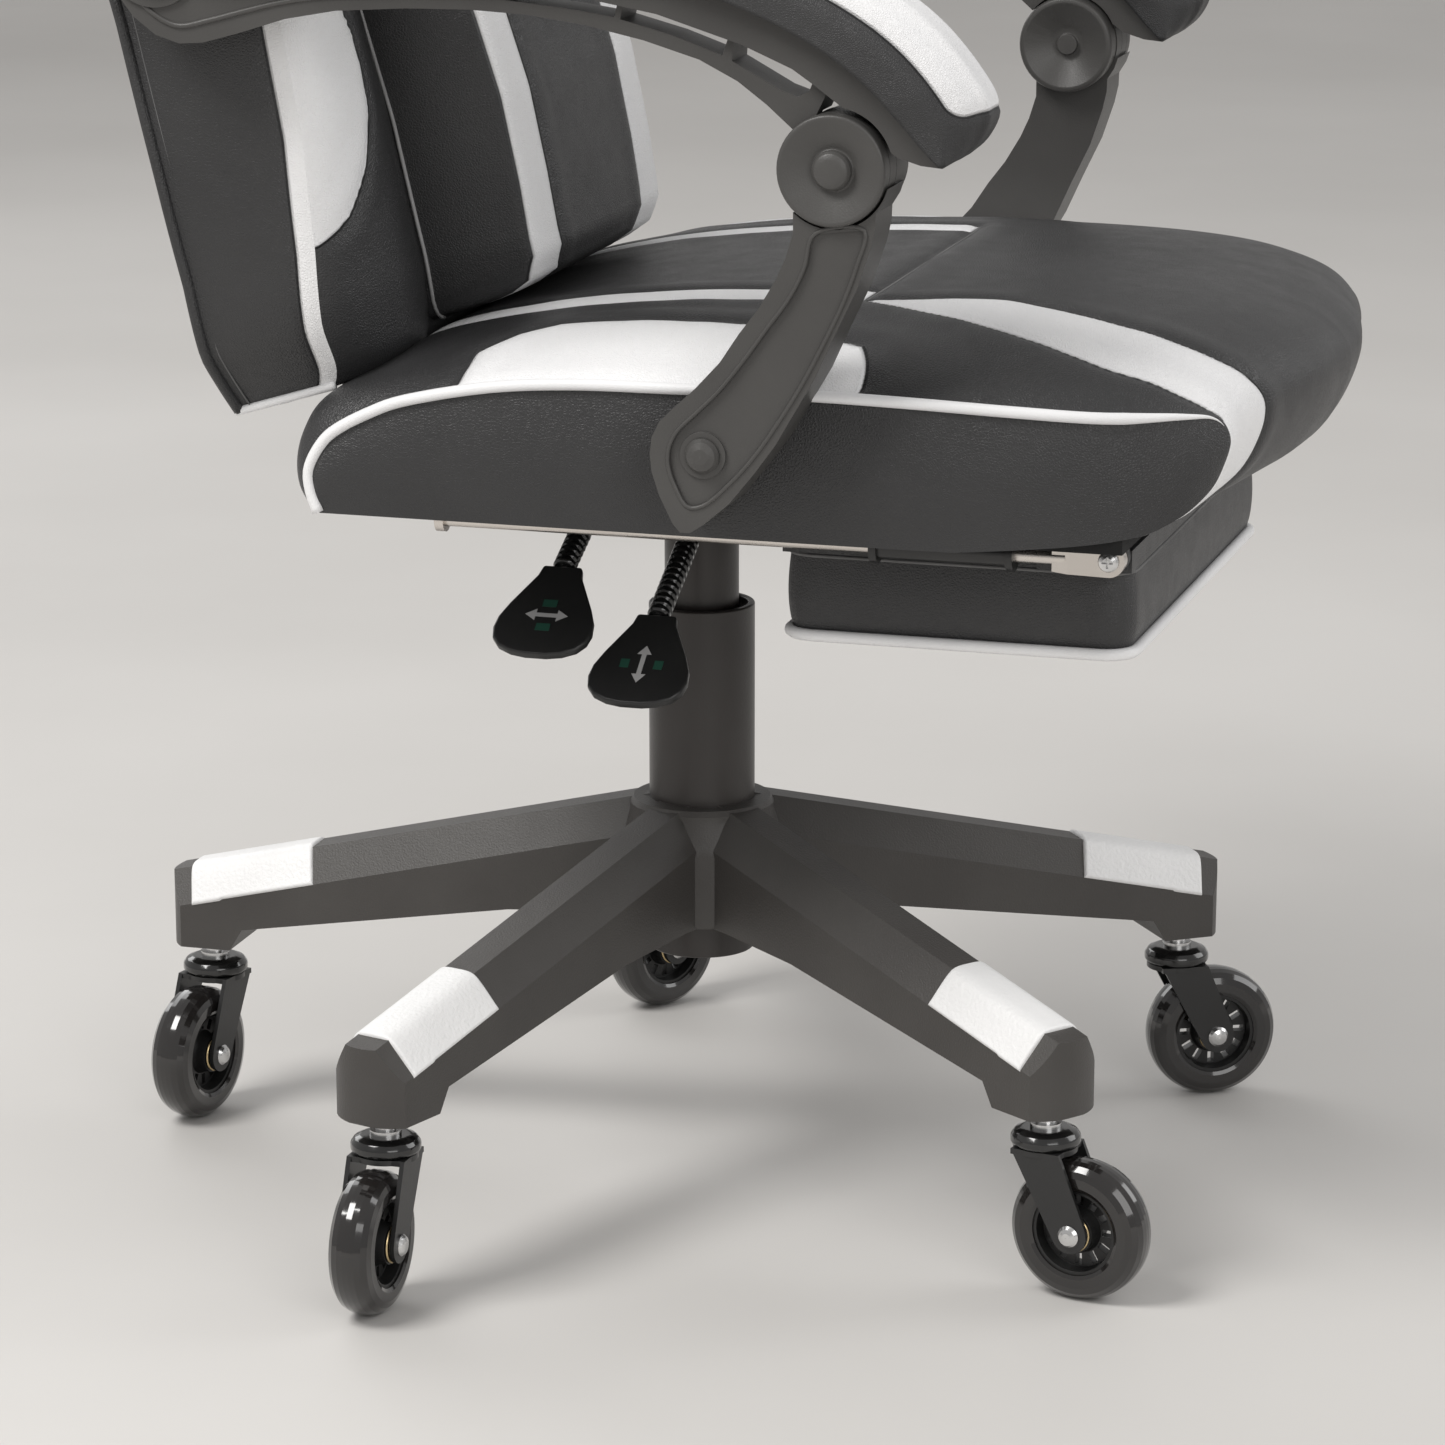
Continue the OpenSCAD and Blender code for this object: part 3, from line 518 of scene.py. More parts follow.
def tip_cap(k):
    """White cap pressed over the end of one base arm, following its shoulders."""
    turn, fall = math.radians(162.5 + 72 * k), math.radians(13.1)
    prof = resample([(-23.4, -20.1), (-21.2, -16.8), (-11.6, -2.4), (-8.6, -0.35), (0, 0.25), (8.6, -0.35), (11.6, -2.4), (21.2, -16.8), (23.4, -20.1)], 241)
    pt = np.gradient(prof, axis=0)
    pt /= np.linalg.norm(pt, axis=1)[:, None]
    pn = np.stack([-pt[:, 1], pt[:, 0]], 1)
    cum = np.r_[0, np.cumsum(np.linalg.norm(np.diff(prof, axis=0), axis=1))]
    mid = cum[-1] / 2
    S0, S1, nS, nC = 239.5, 317.5, 58, 61
    su = S0 + (S1 - S0) * (0.5 - 0.5 * np.cos(np.linspace(0, math.pi, nS)))
    cu = -np.cos(np.linspace(0, math.pi, nC))
    V = []
    for s in su:
        xp = s * math.cos(fall)
        lim = 23.2 if xp < 292 else math.sqrt(max(31.0 ** 2 - (xp - 290) ** 2, 100))
        ok = np.abs(prof[:, 0]) <= lim
        span = min(mid, float(np.abs(cum[ok] - mid).max()))
        for m in cu:
            c = mid + m * span
            d = min(span * (1 - abs(m)), s - S0, S1 - s)
            up = -0.5 + 2.3 * math.sqrt(max(0.0, 1 - (1 - min(1, d / 1.6)) ** 2))
            p = np.array([np.interp(c, cum, prof[:, 0]), np.interp(c, cum, prof[:, 1])])
            n = np.array([np.interp(c, cum, pn[:, 0]), np.interp(c, cum, pn[:, 1])])
            lat, h = p + n * up
            x, z = s * math.cos(fall) + h * math.sin(fall), 220.7 - s * math.sin(fall) + h * math.cos(fall)
            V.append((x * math.cos(turn) - lat * math.sin(turn), x * math.sin(turn) + lat * math.cos(turn), z))
    o = recalc(obj_from(f"tip_cap_{k + 1}", V, grid_faces(nS, nC), "nylon_white"))
    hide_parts("base_tip_caps")
    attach(o, "base")


for k in range(5):
    tip_cap(k)
soften("column_outer_tube", "column", 1.2, 3)
paint("column_guide_bush", "hub")
paint("piston_rod", "zinc")
paint("caster_stems", "zinc")
soften("caster_cups", "gloss", 0.8, 3)
paint("column_inner_tube", "column")
for k in range(1, 6):
    soften(f"caster_fork_{k}", "steel_black", 0.7, 2)
    paint(f"caster_axle_{k}", "zinc")
    soften(f"wheel_hub_{k}", "hub", 0.4, 2)
    paint(f"tyre_{k}", "tyre")
for n in ("mechanism_plate", "mechanism_housing", "footrest_guides", "back_bracket", "arm_pivot_plates"):
    paint(n, "steel_black")
for n in ("seat_fasteners",):
    paint(n, "arm")
for n in ("recline_pin", "lift_lever_rod", "lock_lever_rod", "footrest_screws"):
    paint(n, "zinc")
paint("seat_board", "under")
paint("footrest_rods", "nickel")
for n in ("lift_lever_sleeve", "lock_lever_sleeve"):
    soften(n, "gloss", 0.4, 2)
for n in ("lift_lever_paddle", "lock_lever_paddle"):
    soften(n, "paddle", 1.6, 3)
for s in ("right", "left"):
    soften(f"upright_{s}", "arm", 1.2, 3)
    soften(f"arm_frame_{s}", "arm", 1.6, 3)
    soften(f"pivot_caps_{s}", "arm", 0.7, 2)
for n in ("footrest_board",):
    paint(n, "leather")


# ------------------------------------------------------------------ seat cover
HALF = 243.0
SEAT_E = [(137, 418.6), (141, 430), (141.5, 442), (135, 455), (126, 464), (108, 474), (87, 482), (43, 491), (0, 495), (-54, 496),
          (-144, 496), (-232, 493.5), (-294, 490.5), (-330, 489.5), (-344, 486), (-350, 475), (-348, 462), (-341, 447),
          (-325, 434), (-298, 426), (-210, 418.3)]
SEAT_C = [(149, 418.6), (156, 430), (157, 445), (153, 460), (143, 476), (124, 488), (100, 501), (50, 513), (0, 520),
          (-54, 524.5), (-144, 528), (-226, 528), (-290, 524), (-328, 517), (-352, 507), (-366, 494), (-369, 481), (-364, 463),
          (-355, 447), (-341, 435), (-312, 425), (-210, 418.3)]
PLAN = [(-349, 178), (-340, 186), (-331, 195), (-320, 208), (-300, 222), (-275, 234), (-240, 241), (-200, 243), (150, 243)]
NOSE = [(0, -364), (0.2, -362), (0.4, -357), (0.6, -350), (0.8, -342), (1, -336)]
LAST_V = len(SEAT_E) - 1
PLAN, NOSE = resample(PLAN, 120), resample(NOSE, 60)


def catmull(pts, n):
    p = np.asarray(pts, float)
    ext = np.vstack([2 * p[0] - p[1], p, 2 * p[-1] - p[-2]])
    u = np.linspace(0, len(p) - 1, n)
    i = np.minimum(u.astype(int), len(p) - 2)
    f = (u - i)[:, None]
    p0, p1, p2, p3 = ext[i], ext[i + 1], ext[i + 2], ext[i + 3]
    return 0.5 * (2 * p1 + (p2 - p0) * f + (2 * p0 - 5 * p1 + 4 * p2 - p3) * f * f + (3 * p1 - p0 - 3 * p2 + p3) * f ** 3)


def ease(x, a, b):
    t = np.clip((x - a) / (b - a), 0, 1)
    return t * t * (3 - 2 * t)


def half_at(y):
    return np.interp(y, [p[0] for p in PLAN], [p[1] for p in PLAN])


CE, CC = catmull(SEAT_E, 400), catmull(SEAT_C, 400)
ARC = np.r_[0, np.cumsum(np.linalg.norm(np.diff(CC, axis=0), axis=1))]


def station(Q, V):
    idx = V / LAST_V * 399
    i = np.clip(idx.astype(int), 0, 398)
    f = (idx - i)[..., None]
    return Q[i] * (1 - f) + Q[i + 1] * f


def arc(V):
    return np.interp(np.asarray(V, float) / LAST_V * 399, np.arange(400), ARC)


def seat_points(X, V):
    """Seat surface from the across position and the station along the profile."""
    t = np.clip(np.abs(X) / HALF, 0, 1)
    w = 1 - 0.3 * t ** 2 - 0.7 * t ** 8
    back = 1 - ease(V, 3.2, 6.4)
    w = w * (1 - back) + (1 - t ** 26) * back
    yz = station(CE, V) * (1 - w)[..., None] + station(CC, V) * w[..., None]
    y, z = yz[..., 0], yz[..., 1]
    front = -349 * (1 - w) - 368 * w
    y = y + (np.interp(t, [p[0] for p in NOSE], [p[1] for p in NOSE]) - front) * ease(-y, 180, 345)
    return np.stack([X / HALF * half_at(y), y, z], -1)


def uv(pts):
    p = np.array([(x, float(arc(v))) for x, v in pts])
    return resample(p, 260, closed=True) if len(p) > 12 else p


def mirror_u(pts):
    return [(-x, v) for x, v in pts]


def grid_normals(S):
    du = np.gradient(S, axis=0)
    dv = np.gradient(S, axis=1)
    n = np.cross(du, dv)
    return n / np.maximum(np.linalg.norm(n, axis=-1), 1e-9)[..., None]


def waves(x, y, seed, size, k=7):
    """Gentle unevenness of stuffed leather: a few long waves in both directions."""
    r = np.random.default_rng(seed)
    h = np.zeros_like(x)
    for _ in range(k):
        a = r.uniform(0, 2 * math.pi)
        f = 2 * math.pi / (size * r.uniform(0.7, 1.7))
        h += np.sin((x * math.cos(a) + y * math.sin(a)) * f + r.uniform(0, 6.28)) / k
    return h


band = [(-125, 9.4), (-123, 9.59), (-112, 10.16), (-124, 10.58), (-138, 11.06), (-152, 11.68), (-167, 12.5), (-177, 13.22), (-182, 14.0),
        (-181, 14.91), (-178, 15.67), (-177, 16.4), (-180, 17.1), (-190, 17.6), (-231, 18.1), (-250, 18.2), (-250, 14.35), (-243, 14.35), (-239, 13.67),
        (-230, 13.0), (-217, 12.27), (-207, 11.56), (-192, 10.94), (-177, 10.47), (-157, 10.02), (-139, 9.65)]
stripe = [(-103, 5.2), (-103, 9.38), (-129, 9.38), (-129, 5.2), (-122, 4.6), (-112, 4.6)]
blade = [(-250, 6.64), (-205, 6.52), (-184, 6.8), (-171, 7.2), (-174, 8.19), (-180, 8.98), (-205, 9.75), (-240, 10.1), (-250, 10.12)]
XS = np.linspace(-HALF, HALF, 176)
VS = np.interp(np.linspace(0, ARC[-1], 300), ARC, np.linspace(0, LAST_V, 400))
GX, GV = np.meshgrid(XS, VS, indexing="ij")
S = seat_points(GX, GV)
A = arc(GV)
panel = np.full(GX.shape, -99.0)
panel = np.maximum(panel, poly_sdf(GX, A, uv(band)))
for shape in (stripe, blade):
    panel = np.maximum(panel, np.maximum(poly_sdf(GX, A, uv(shape)), poly_sdf(GX, A, uv(mirror_u(shape)))))
# sewn lines with the same leather on both sides: across the seat, and the panel joints running to the back
seam_v = float(arc(9.4))
d_cross = np.where(np.abs(GX) < 126, np.abs(A - seam_v), 99)
seam_d = np.minimum(np.abs(panel), d_cross)
N = grid_normals(S)
if N[88, 150, 2] < 0:
    N = -N
top = ease(S[..., 2], 470, 490)
puff = -1.6 * np.exp(-(seam_d / 3.2) ** 2) + 0.9 * np.exp(-((seam_d - 12) / 9) ** 2) + 0.9 * waves(GX, A, 11, 150) * top
puff += 0.35 * waves(GX, A, 5, 42, 9) * np.exp(-((seam_d - 6) / 12) ** 2)
edge_pull = np.clip((HALF - np.abs(GX)) / 6, 0, 1)
S = S + N * (puff * edge_pull)[..., None]
seat_top = obj_from("seat_cover_top", S.reshape(-1, 3), grid_faces(len(XS), len(VS)), "two_tone", attr=panel.ravel())
recalc(seat_top)
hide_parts("seat_cushion")
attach(seat_top, "seat")

BV = np.linspace(0, LAST_V, 500)
for s, side_name in ((-1, "right"), (1, "left")):
    B = seat_points(np.full(500, s * HALF), BV)
    iy0, iy1 = int(B[:, 1].argmax()), int(B[:, 1].argmin())
    up, lo_r, lo_f = B[iy0:iy1 + 1], B[:iy0 + 1], B[iy1:]
    y_r, y_f = B[0, 1], B[-1, 1]
    nC = 190
    cols = B[iy1, 1] + (B[iy0, 1] - B[iy1, 1]) * (0.5 - 0.5 * np.cos(np.linspace(0, math.pi, nC)))
    zt = np.interp(cols, up[::-1, 1], up[::-1, 2])
    zb = np.full(nC, 418.0)
    m_r, m_f = cols > y_r, cols < y_f
    zb[m_r] = np.interp(cols[m_r], lo_r[:, 1], lo_r[:, 2])
    zb[m_f] = np.interp(cols[m_f], lo_f[:, 1], lo_f[:, 2])
    nS = 26
    sv = np.linspace(0, 1, nS)
    V3 = []
    xs = half_at(cols)
    for i in range(nC):
        tall = zt[i] - zb[i]
        for q in sv:
            bulge = 3.4 * math.sin(math.pi * q) * min(1, tall / 40) + 0.25 * math.sin(cols[i] / 31 + 5 * q) * math.sin(math.pi * q)
            bx, by = bulge, 0.0
            if cols[i] < -240:
                k = min(1, (-240 - cols[i]) / 90)
                by = -bulge * 0.6 * k
            V3.append((s * (xs[i] + bx), cols[i] + by, zb[i] + tall * q))
    side_o = recalc(obj_from(f"seat_side_{side_name}", V3, grid_faces(nC, nS), "leather"))
    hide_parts("seat_cushion")
    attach(side_o, "seat")
    # flat piping: thin as it leaves the underside, thinning to a point at the front tip
    tip = int(14.4 / LAST_V * 499)
    line = B[:tip + 1].copy()
    line[:, 0] += s * 0.9
    line[:, 2] -= 1.2 * ease(line[:, 2], 430, 480)
    n = 190
    pipe = resample(line, n, smooth=False)
    rad = 3.1 * np.minimum(1, (np.linspace(1, 0, n) * 9) ** 0.8)
    rad = np.maximum(rad, 0.12)
    pipe_o = tube(f"seat_piping_{side_name}", pipe, 1.0, "white", n=n, sides=12, smooth=False, rad=rad)
    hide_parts("seat_cushion")
    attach(pipe_o, "seat")

cross = seat_points(np.linspace(-124, 124, 60), np.full(60, 9.4)) + np.array([0, 0, -1.5])
cr_o = tube("seat_cross_seam", cross, 0.7, "thread", sides=6, smooth=False)
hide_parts("seat_cushion")
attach(cr_o, "seat")
under_v = []
uy = np.linspace(-211, B[0, 1], 40)
for y in uy:
    for x in np.linspace(-1, 1, 30):
        under_v.append((x * half_at(y), y, 418.3))
under_o = recalc(obj_from("seat_underside", under_v, grid_faces(40, 30), "under"))
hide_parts("seat_cushion")
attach(under_o, "seat")


# ------------------------------------------------------------------ backrest cover
def back_pt(x, w, h):
    x, w, h = np.broadcast_arrays(np.asarray(x, float), np.asarray(w, float), np.asarray(h, float))
    return np.stack([x, 184 + 0.289 * h - 0.957 * w, 478 + 0.957 * h + 0.289 * w], -1)


def along(h, pts):
    return np.interp(h, [p[0] for p in pts], [p[1] for p in pts])


def fit(o, body, *nodes):
    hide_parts(*nodes)
    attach(o, body)
    return o


OUTLINE = [(198, -12), (209, 4), (220, 24), (228, 70), (233, 140), (235, 220), (236, 290), (240, 360), (252, 430), (261, 490), (263, 540),
           (256, 590), (232, 640), (200, 680), (177, 715), (166, 755), (154, 795), (128, 823), (84, 836), (40, 840), (2, 841)]
W_OUT = [(-12, 52), (20, 58), (60, 70), (120, 84), (182, 92), (260, 96), (380, 98), (560, 96), (700, 86), (790, 74), (825, 58), (841, 40)]
W_IN = [(-12, 66), (28, 76), (60, 78), (120, 82), (200, 84), (400, 88), (600, 86), (740, 76), (800, 66), (828, 54), (841, 40)]
W_REAR = [(-12, -20), (20, -20), (60, -14), (120, -9), (200, -3), (300, 0), (780, 0), (841, 6)]
nO = 230
OL = resample(OUTLINE, nO)
hw, hh = OL[:, 0], OL[:, 1]
nQ = 121
q = np.sin(np.linspace(-1, 1, nQ) * math.pi / 2 * 0.86) / math.sin(math.pi / 2 * 0.86)
FX = hw[:, None] * q[None]
FH = np.repeat(hh[:, None], nQ, 1)
wo, wi = along(FH, W_OUT), along(FH, W_IN)
span = np.clip((np.abs(FX) - 120) / np.maximum(hw[:, None] - 120, 1), 0, 1)
crown = ease(hw[:, None], 122, 170)
FW = np.where(np.abs(FX) < 120, wi - 3, wi + (wo - wi) * span + 7 * np.sin(math.pi * span) ** 0.8 * crown - 8 * span ** 14)
low_hug = np.minimum(1, (FH + 12) / 14)
FW = FW - 5 * (1 - np.clip(low_hug, 0, 1)) ** 2
blades = [
    [(-262, 58), (-226, 62), (-205, 72), (-181, 93), (-164, 120), (-160, 143), (-164, 162), (-179, 186), (-200, 212), (-222, 236), (-262, 252)],
    [(-290, 430), (-250, 440), (-214, 470), (-190, 512), (-184, 545), (-190, 580), (-206, 612), (-230, 640), (-270, 660)],
]
panel = np.full(FX.shape, -99.0)
for b in blades:
    panel = np.maximum(panel, np.maximum(poly_sdf(FX, FH, b), poly_sdf(FX, FH, [(-x, h) for x, h in b])))
FW += (-1.5 * np.exp(-(panel / 3.0) ** 2) + 0.9 * np.exp(-((np.abs(panel) - 11) / 8) ** 2) + 1.0 * waves(FX, FH, 21, 130)) * np.clip((1 - np.abs(q[None])) * 14, 0, 1)
o = recalc(obj_from("back_front_cover", back_pt(FX, FW, FH).reshape(-1, 3), grid_faces(nO, nQ), "two_tone", attr=panel.ravel()))
fit(o, "backrest", "back_bolsters")
edge_w = FW[:, -1]
rear_w = along(hh, W_REAR)
nP = 34
pq = np.linspace(0, 1, nP)
for s, nm in ((-1, "right"), (1, "left")):
    tn = np.gradient(OL, axis=0)
    tn /= np.linalg.norm(tn, axis=1)[:, None]
    out = np.stack([tn[:, 1], -tn[:, 0]], 1)
    bulge = 4.0 * np.sin(math.pi * pq)[None] * ease(hh + 12, 0, 60)[:, None] + 0.35 * np.sin(hh / 37.0)[:, None] * np.sin(math.pi * pq)[None]
    SX = hw[:, None] + out[:, :1] * bulge
    SH = hh[:, None] + out[:, 1:] * bulge
    SW = edge_w[:, None] + (rear_w - edge_w)[:, None] * pq[None]
    mask = SW - (edge_w[:, None] - 10.5)
    dep = -1.4 * np.exp(-(mask / 2.6) ** 2)
    SX = SX + out[:, :1] * dep
    o = recalc(obj_from(f"back_side_{nm}", back_pt(s * SX, SW, SH).reshape(-1, 3), grid_faces(nO, nP), "two_tone", attr=mask.ravel()))
    fit(o, "backrest", "back_bolsters")
    rim = back_pt(s * hw, rear_w + 1.5, hh)
    fit(tube(f"back_rear_piping_{nm}", rim, 3.3, "leather", step=6, sides=10), "backrest", "back_board")
    stl = back_pt(s * (hw + 0.8), rear_w + 9, hh)
    fit(tube(f"back_rear_seam_{nm}", stl, 0.5, "thread", step=6, sides=6), "backrest", "back_board")
# rear panel, flat where the bracket bolts on
RX = hw[:, None] * q[None]
RW = rear_w[:, None] * ease(np.abs(RX), 66, 120) + 0.4
RW = RW - 7 * ease(FH, 180, 260) * (1 - ease(FH, 700, 820)) * np.clip(1 - (np.abs(RX) / np.maximum(hw[:, None], 1)) ** 4, 0, 1)
RW += 0.5 * waves(RX, FH, 31, 160) * ease(FH, 180, 260)
o = recalc(obj_from("back_rear_cover", back_pt(RX, RW, FH).reshape(-1, 3), grid_faces(nO, nQ), "leather"))
fit(o, "backrest", "back_board")
# bottom edge
bot = []
for i in range(nQ):
    for f in np.linspace(0, 1, 16):
        bot.append(back_pt(FX[0, i], FW[0, i] * (1 - f) + RW[0, i] * f, -12 - 3 * math.sin(math.pi * f)))
fit(recalc(obj_from("back_bottom_cover", np.array(bot), grid_faces(nQ, 16), "leather")), "backrest", "back_bolsters")
for s, nm in ((-1, "right"), (1, "left")):
    f = np.linspace(0, 1, 30)
    fit(tube(f"back_bottom_piping_{nm}", back_pt(s * (hw[0] + 0.5), edge_w[0] + (rear_w[0] - edge_w[0]) * f, -12.5), 2.4, "white", n=30, smooth=False),
        "backrest", "back_bolsters")

# centre pad
A_OF = [(0, 96), (3, 106), (12, 113), (30, 116), (120, 117), (330, 118), (600, 118), (770, 117), (795, 108), (806, 90), (811, 66), (812, 58)]
W_PAD = [(0, 84), (1, 100), (3, 116), (8, 130), (20, 138), (59, 143), (107, 147), (152, 146), (230, 140), (330, 124), (450, 112), (600, 104),
         (740, 97), (790, 90), (804, 82), (811, 70), (812, 64)]
ph = np.r_[0, 0.4, 1, 2, 3.5, 5.5, 8, 11, 15, np.arange(20, 790, 5), 792, 796, 800, 803, 806, 808.5, 810.5, 811.5, 812]
a_h, w_h = along(ph, A_OF), along(ph, W_PAD)
rows, mask = [], []
for h, a, wf in zip(ph, a_h, w_h):
    base = min(float(along(h, W_IN)) - 14, wf - 6)
    r = min(9.0, (wf - base) * 0.5)
    pts, mk = [], []
    for t in np.linspace(0, 1, 14):
        w = base + (wf - r - base) * t
        pts.append((a + 5 - 5 * t + 2.2 * math.sin(math.pi * t), w))
        mk.append(w - (wf - r * 0.4))
    for t in np.linspace(0, 1, 7)[1:]:
        th = t * math.pi / 2
        pts.append((a - r + r * math.cos(th), wf - r + r * math.sin(th)))
        mk.append((t - 0.45) * r * 1.4)
    nf = 40
    for t in np.linspace(0, 1, nf)[1:]:
        x = (a - r) * (1 - t)
        lift = 2.6 * (1 - (x / a) ** 2)
        seam = a - 42 - x
        dip = -1.6 * math.exp(-(seam / 3.4) ** 2) + 0.9 * math.exp(-((seam - 12) / 8) ** 2)
        pts.append((x, wf + lift + dip))
        mk.append(min(x - (a - 42), 40))
    full = [(-x, w) for x, w in pts] + [(x, w) for x, w in pts[-2::-1]]
    rows.append(full)
    mask.append(mk + mk[-2::-1])
R = np.array(rows)
PM = np.array(mask)
PH = np.repeat(ph[:, None], R.shape[1], 1)
R[..., 1] += 0.9 * waves(R[..., 0], PH, 41, 140) * ease(PH, 5, 60) * (1 - ease(PH, 740, 800)) * (np.abs(R[..., 0]) < 100)
o = recalc(obj_from("back_centre_cover", back_pt(R[..., 0], R[..., 1], PH).reshape(-1, 3), grid_faces(len(ph), R.shape[1]), "two_tone", attr=PM.ravel()))
fit(o, "backrest", "back_centre_pad")
loop = []
ws = along(ph, W_IN)
for h, a, w in zip(ph[::3], a_h[::3], ws[::3]):
    loop.append((a + 5.6, min(w + 2.5, 84), h))
loop = np.array(loop)
for s, nm in ((-1, "right"), (1, "left")):
    fit(tube(f"back_centre_piping_{nm}", back_pt(s * loop[:, 0], loop[:, 1], loop[:, 2]), 1.1, "piping_grey", step=5, sides=8), "backrest", "back_centre_pad")

# head pillow: crowned pad, seam round its rim
nu, nv = 96, 40
pv = []
for i in range(nu):
    u = 2 * math.pi * i / nu
    for j in range(nv + 1):
        v = -math.pi / 2 + math.pi * j / nv
        cu, su = math.cos(u), math.sin(u)
        ex = lambda c, p: math.copysign(abs(c) ** p, c)
        x = 131 * ex(cu, 0.42) * ex(math.cos(v), 0.62)
        h = 691 + 66 * ex(su, 0.45) * ex(math.cos(v), 0.62)
        w = 126 + (26 if v > 0 else 20) * ex(math.sin(v), 0.9)
        pinch = 1 - 0.05 * (1 - abs(cu)) * (1 - abs(math.sin(v)))
        pv.append(back_pt(x * pinch, w + 1.2 * math.sin(x / 24 + h / 31), h))
o = weld(obj_from("head_pillow_cover", np.array(pv), grid_faces(nu, nv + 1, wrap_u=True), "leather"), 0.05)
fit(o, "backrest", "head_pillow")
rim = []
for i in range(120):
    u = 2 * math.pi * i / 120
    cu, su = math.cos(u), math.sin(u)
    rim.append((131.6 * math.copysign(abs(cu) ** 0.42, cu), 126, 691 + 66.6 * math.copysign(abs(su) ** 0.45, su)))
rim = np.array(rim)
fit(tube("head_pillow_piping", back_pt(rim[:, 0], rim[:, 1], rim[:, 2]), 2.4, "white", n=180, closed=True, smooth=False), "backrest", "head_pillow")


# elastic strap of the head pillow, pulled round the backrest
half = [(112, 112), (124, 108), (138, 95), (150, 90.5), (162, 87), (170, 80), (174.6, 70), (175.4, 40), (175, 12), (171, 2), (160, -4), (120, -8), (60, -9.6), (0, -9.8)]
path = resample(half, 150)
path = np.vstack([path, (path * [-1, 1])[-2::-1]])
tg = np.gradient(path, axis=0)
tg /= np.linalg.norm(tg, axis=1)[:, None]
og = np.stack([-tg[:, 1], tg[:, 0]], 1)
if (og[60] @ path[60]) < 0:
    og = -og
sv = []
for (x, w), (ox, ow) in zip(path, og):
    for dd, h in ((0, 722), (1.5, 722.4), (1.5, 743.6), (0, 744)):
        sv.append(back_pt(x + ox * dd, w + ow * dd, h))
fit(recalc(obj_from("head_pillow_band", np.array(sv), grid_faces(len(path), 4, wrap_v=True), "elastic")), "backrest", "head_pillow_strap")


# ------------------------------------------------------------------ raised rims of the arm mouldings
RIM = [(-168, 586), (-164, 568), (-157, 549), (-147, 528), (-136, 507), (-125, 489), (-112, 470), (-98, 454), (-84, 442), (-76, 441), (-70, 450),
       (-66, 461), (-66, 470), (-70, 479), (-80, 489), (-92, 501), (-105, 517), (-118, 535), (-129, 550), (-137, 566), (-142, 583)]
GROOVE = [(226, 697), (219, 686), (208, 677), (197, 673), (180, 676.5), (160, 682), (142, 686.5), (120, 690), (90, 692)]
for s, nm in ((-1, "right"), (1, "left")):
    rim_o = tube(f"upright_rim_{nm}", [(s * 277.9, y, z) for y, z in RIM], 1.15, "arm", closed=True, step=3, sides=8)
    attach(rim_o, "upright_r" if nm == "right" else "upright_l")
    gr_o = tube(f"arm_frame_bead_{nm}", [(s * 269.9, y, z) for y, z in GROOVE], 1.5, "arm", step=3, sides=8, taper=6)
    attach(gr_o, "armrest_r" if nm == "right" else "armrest_l")


# ------------------------------------------------------------------ arm pads
PAD_LOW = [(-207.5, 619.8), (-197, 630.3), (-189, 639.3), (-172, 657.3), (-155, 670.3), (-138, 680.3), (-120, 688.8), (-95, 698.3), (-60, 708.3),
           (-20, 715.8), (30, 720.3), (80, 720.8), (130, 718.4), (143, 718.6)]
PAD_TOP = [(-214, 622), (-222, 629), (-227.5, 638), (-229, 645), (-225, 655), (-216, 668.5), (-200, 686), (-180, 701), (-150, 717), (-110, 732),
           (-60, 743), (0, 749), (60, 749), (100, 745), (128, 736), (140, 727), (144, 720)]
nL, nK = 150, 61
lowc, topc = resample(PAD_LOW, nL), resample(PAD_TOP, nL)
top_s = np.r_[0, np.cumsum(np.linalg.norm(np.diff(topc, axis=0), axis=1))]
front_s = float(top_s[np.argmin(np.hypot(topc[:, 0] + 228.5, topc[:, 1] - 646))])
end_s = float(top_s[np.argmin(np.abs(topc[:, 0] - 116) + np.abs(topc[:, 1] - 740))])
rows, mask = [], []
for i in range(nL):
    lo2, to2 = lowc[i], topc[i]
    ym = 0.5 * (lo2[0] + to2[0])
    yo = float(np.interp(ym, [-226, -220, -212, -200, 60, 128, 143], [272, 282, 287, 289, 289, 288, 279]))
    yi = float(np.interp(ym, [-226, -220, -212, -200, 60, 100, 128, 143], [246, 235, 230, 228, 228, 240, 241, 249]))
    a, xc = (yo - yi) / 2, (yo + yi) / 2
    sec = [(a, 0), (a + 0.4, 0.2), (a, 0.42), (a - 4, 0.60), (a - 9, 0.80), (a - 16, 0.93), (0.4 * a, 0.99), (0, 1.0)]
    full = sec + [(-x, f) for x, f in sec[-2::-1]]
    H = float(np.linalg.norm(to2 - lo2))
    c = resample([(x, f * H) for x, f in full], nK)
    cs = np.r_[0, np.cumsum(np.linalg.norm(np.diff(c, axis=0), axis=1))]
    mid = cs[nK // 2]
    hit = np.interp(0.60 * H, c[:nK // 2, 1], cs[:nK // 2])
    half_c = mid - hit
    for k in range(nK):
        f = c[k, 1] / max(H, 1e-6)
        p = lo2 * (1 - f) + to2 * f
        rows.append((-(xc + c[k, 0]), p[0], p[1]))
        dx = abs(cs[k] - mid) - half_c + 8
        dy = abs(top_s[i] - (front_s + end_s) / 2) - (end_s - front_s) / 2 + 8
        mask.append(-(math.hypot(max(dx, 0), max(dy, 0)) + min(max(dx, dy), 0) - 8))
rows = np.array(rows).reshape(nL, nK, 3)
mask = np.array(mask).reshape(nL, nK)
Np = grid_normals(rows)
if Np[80, nK // 2, 2] < 0:
    Np = -Np
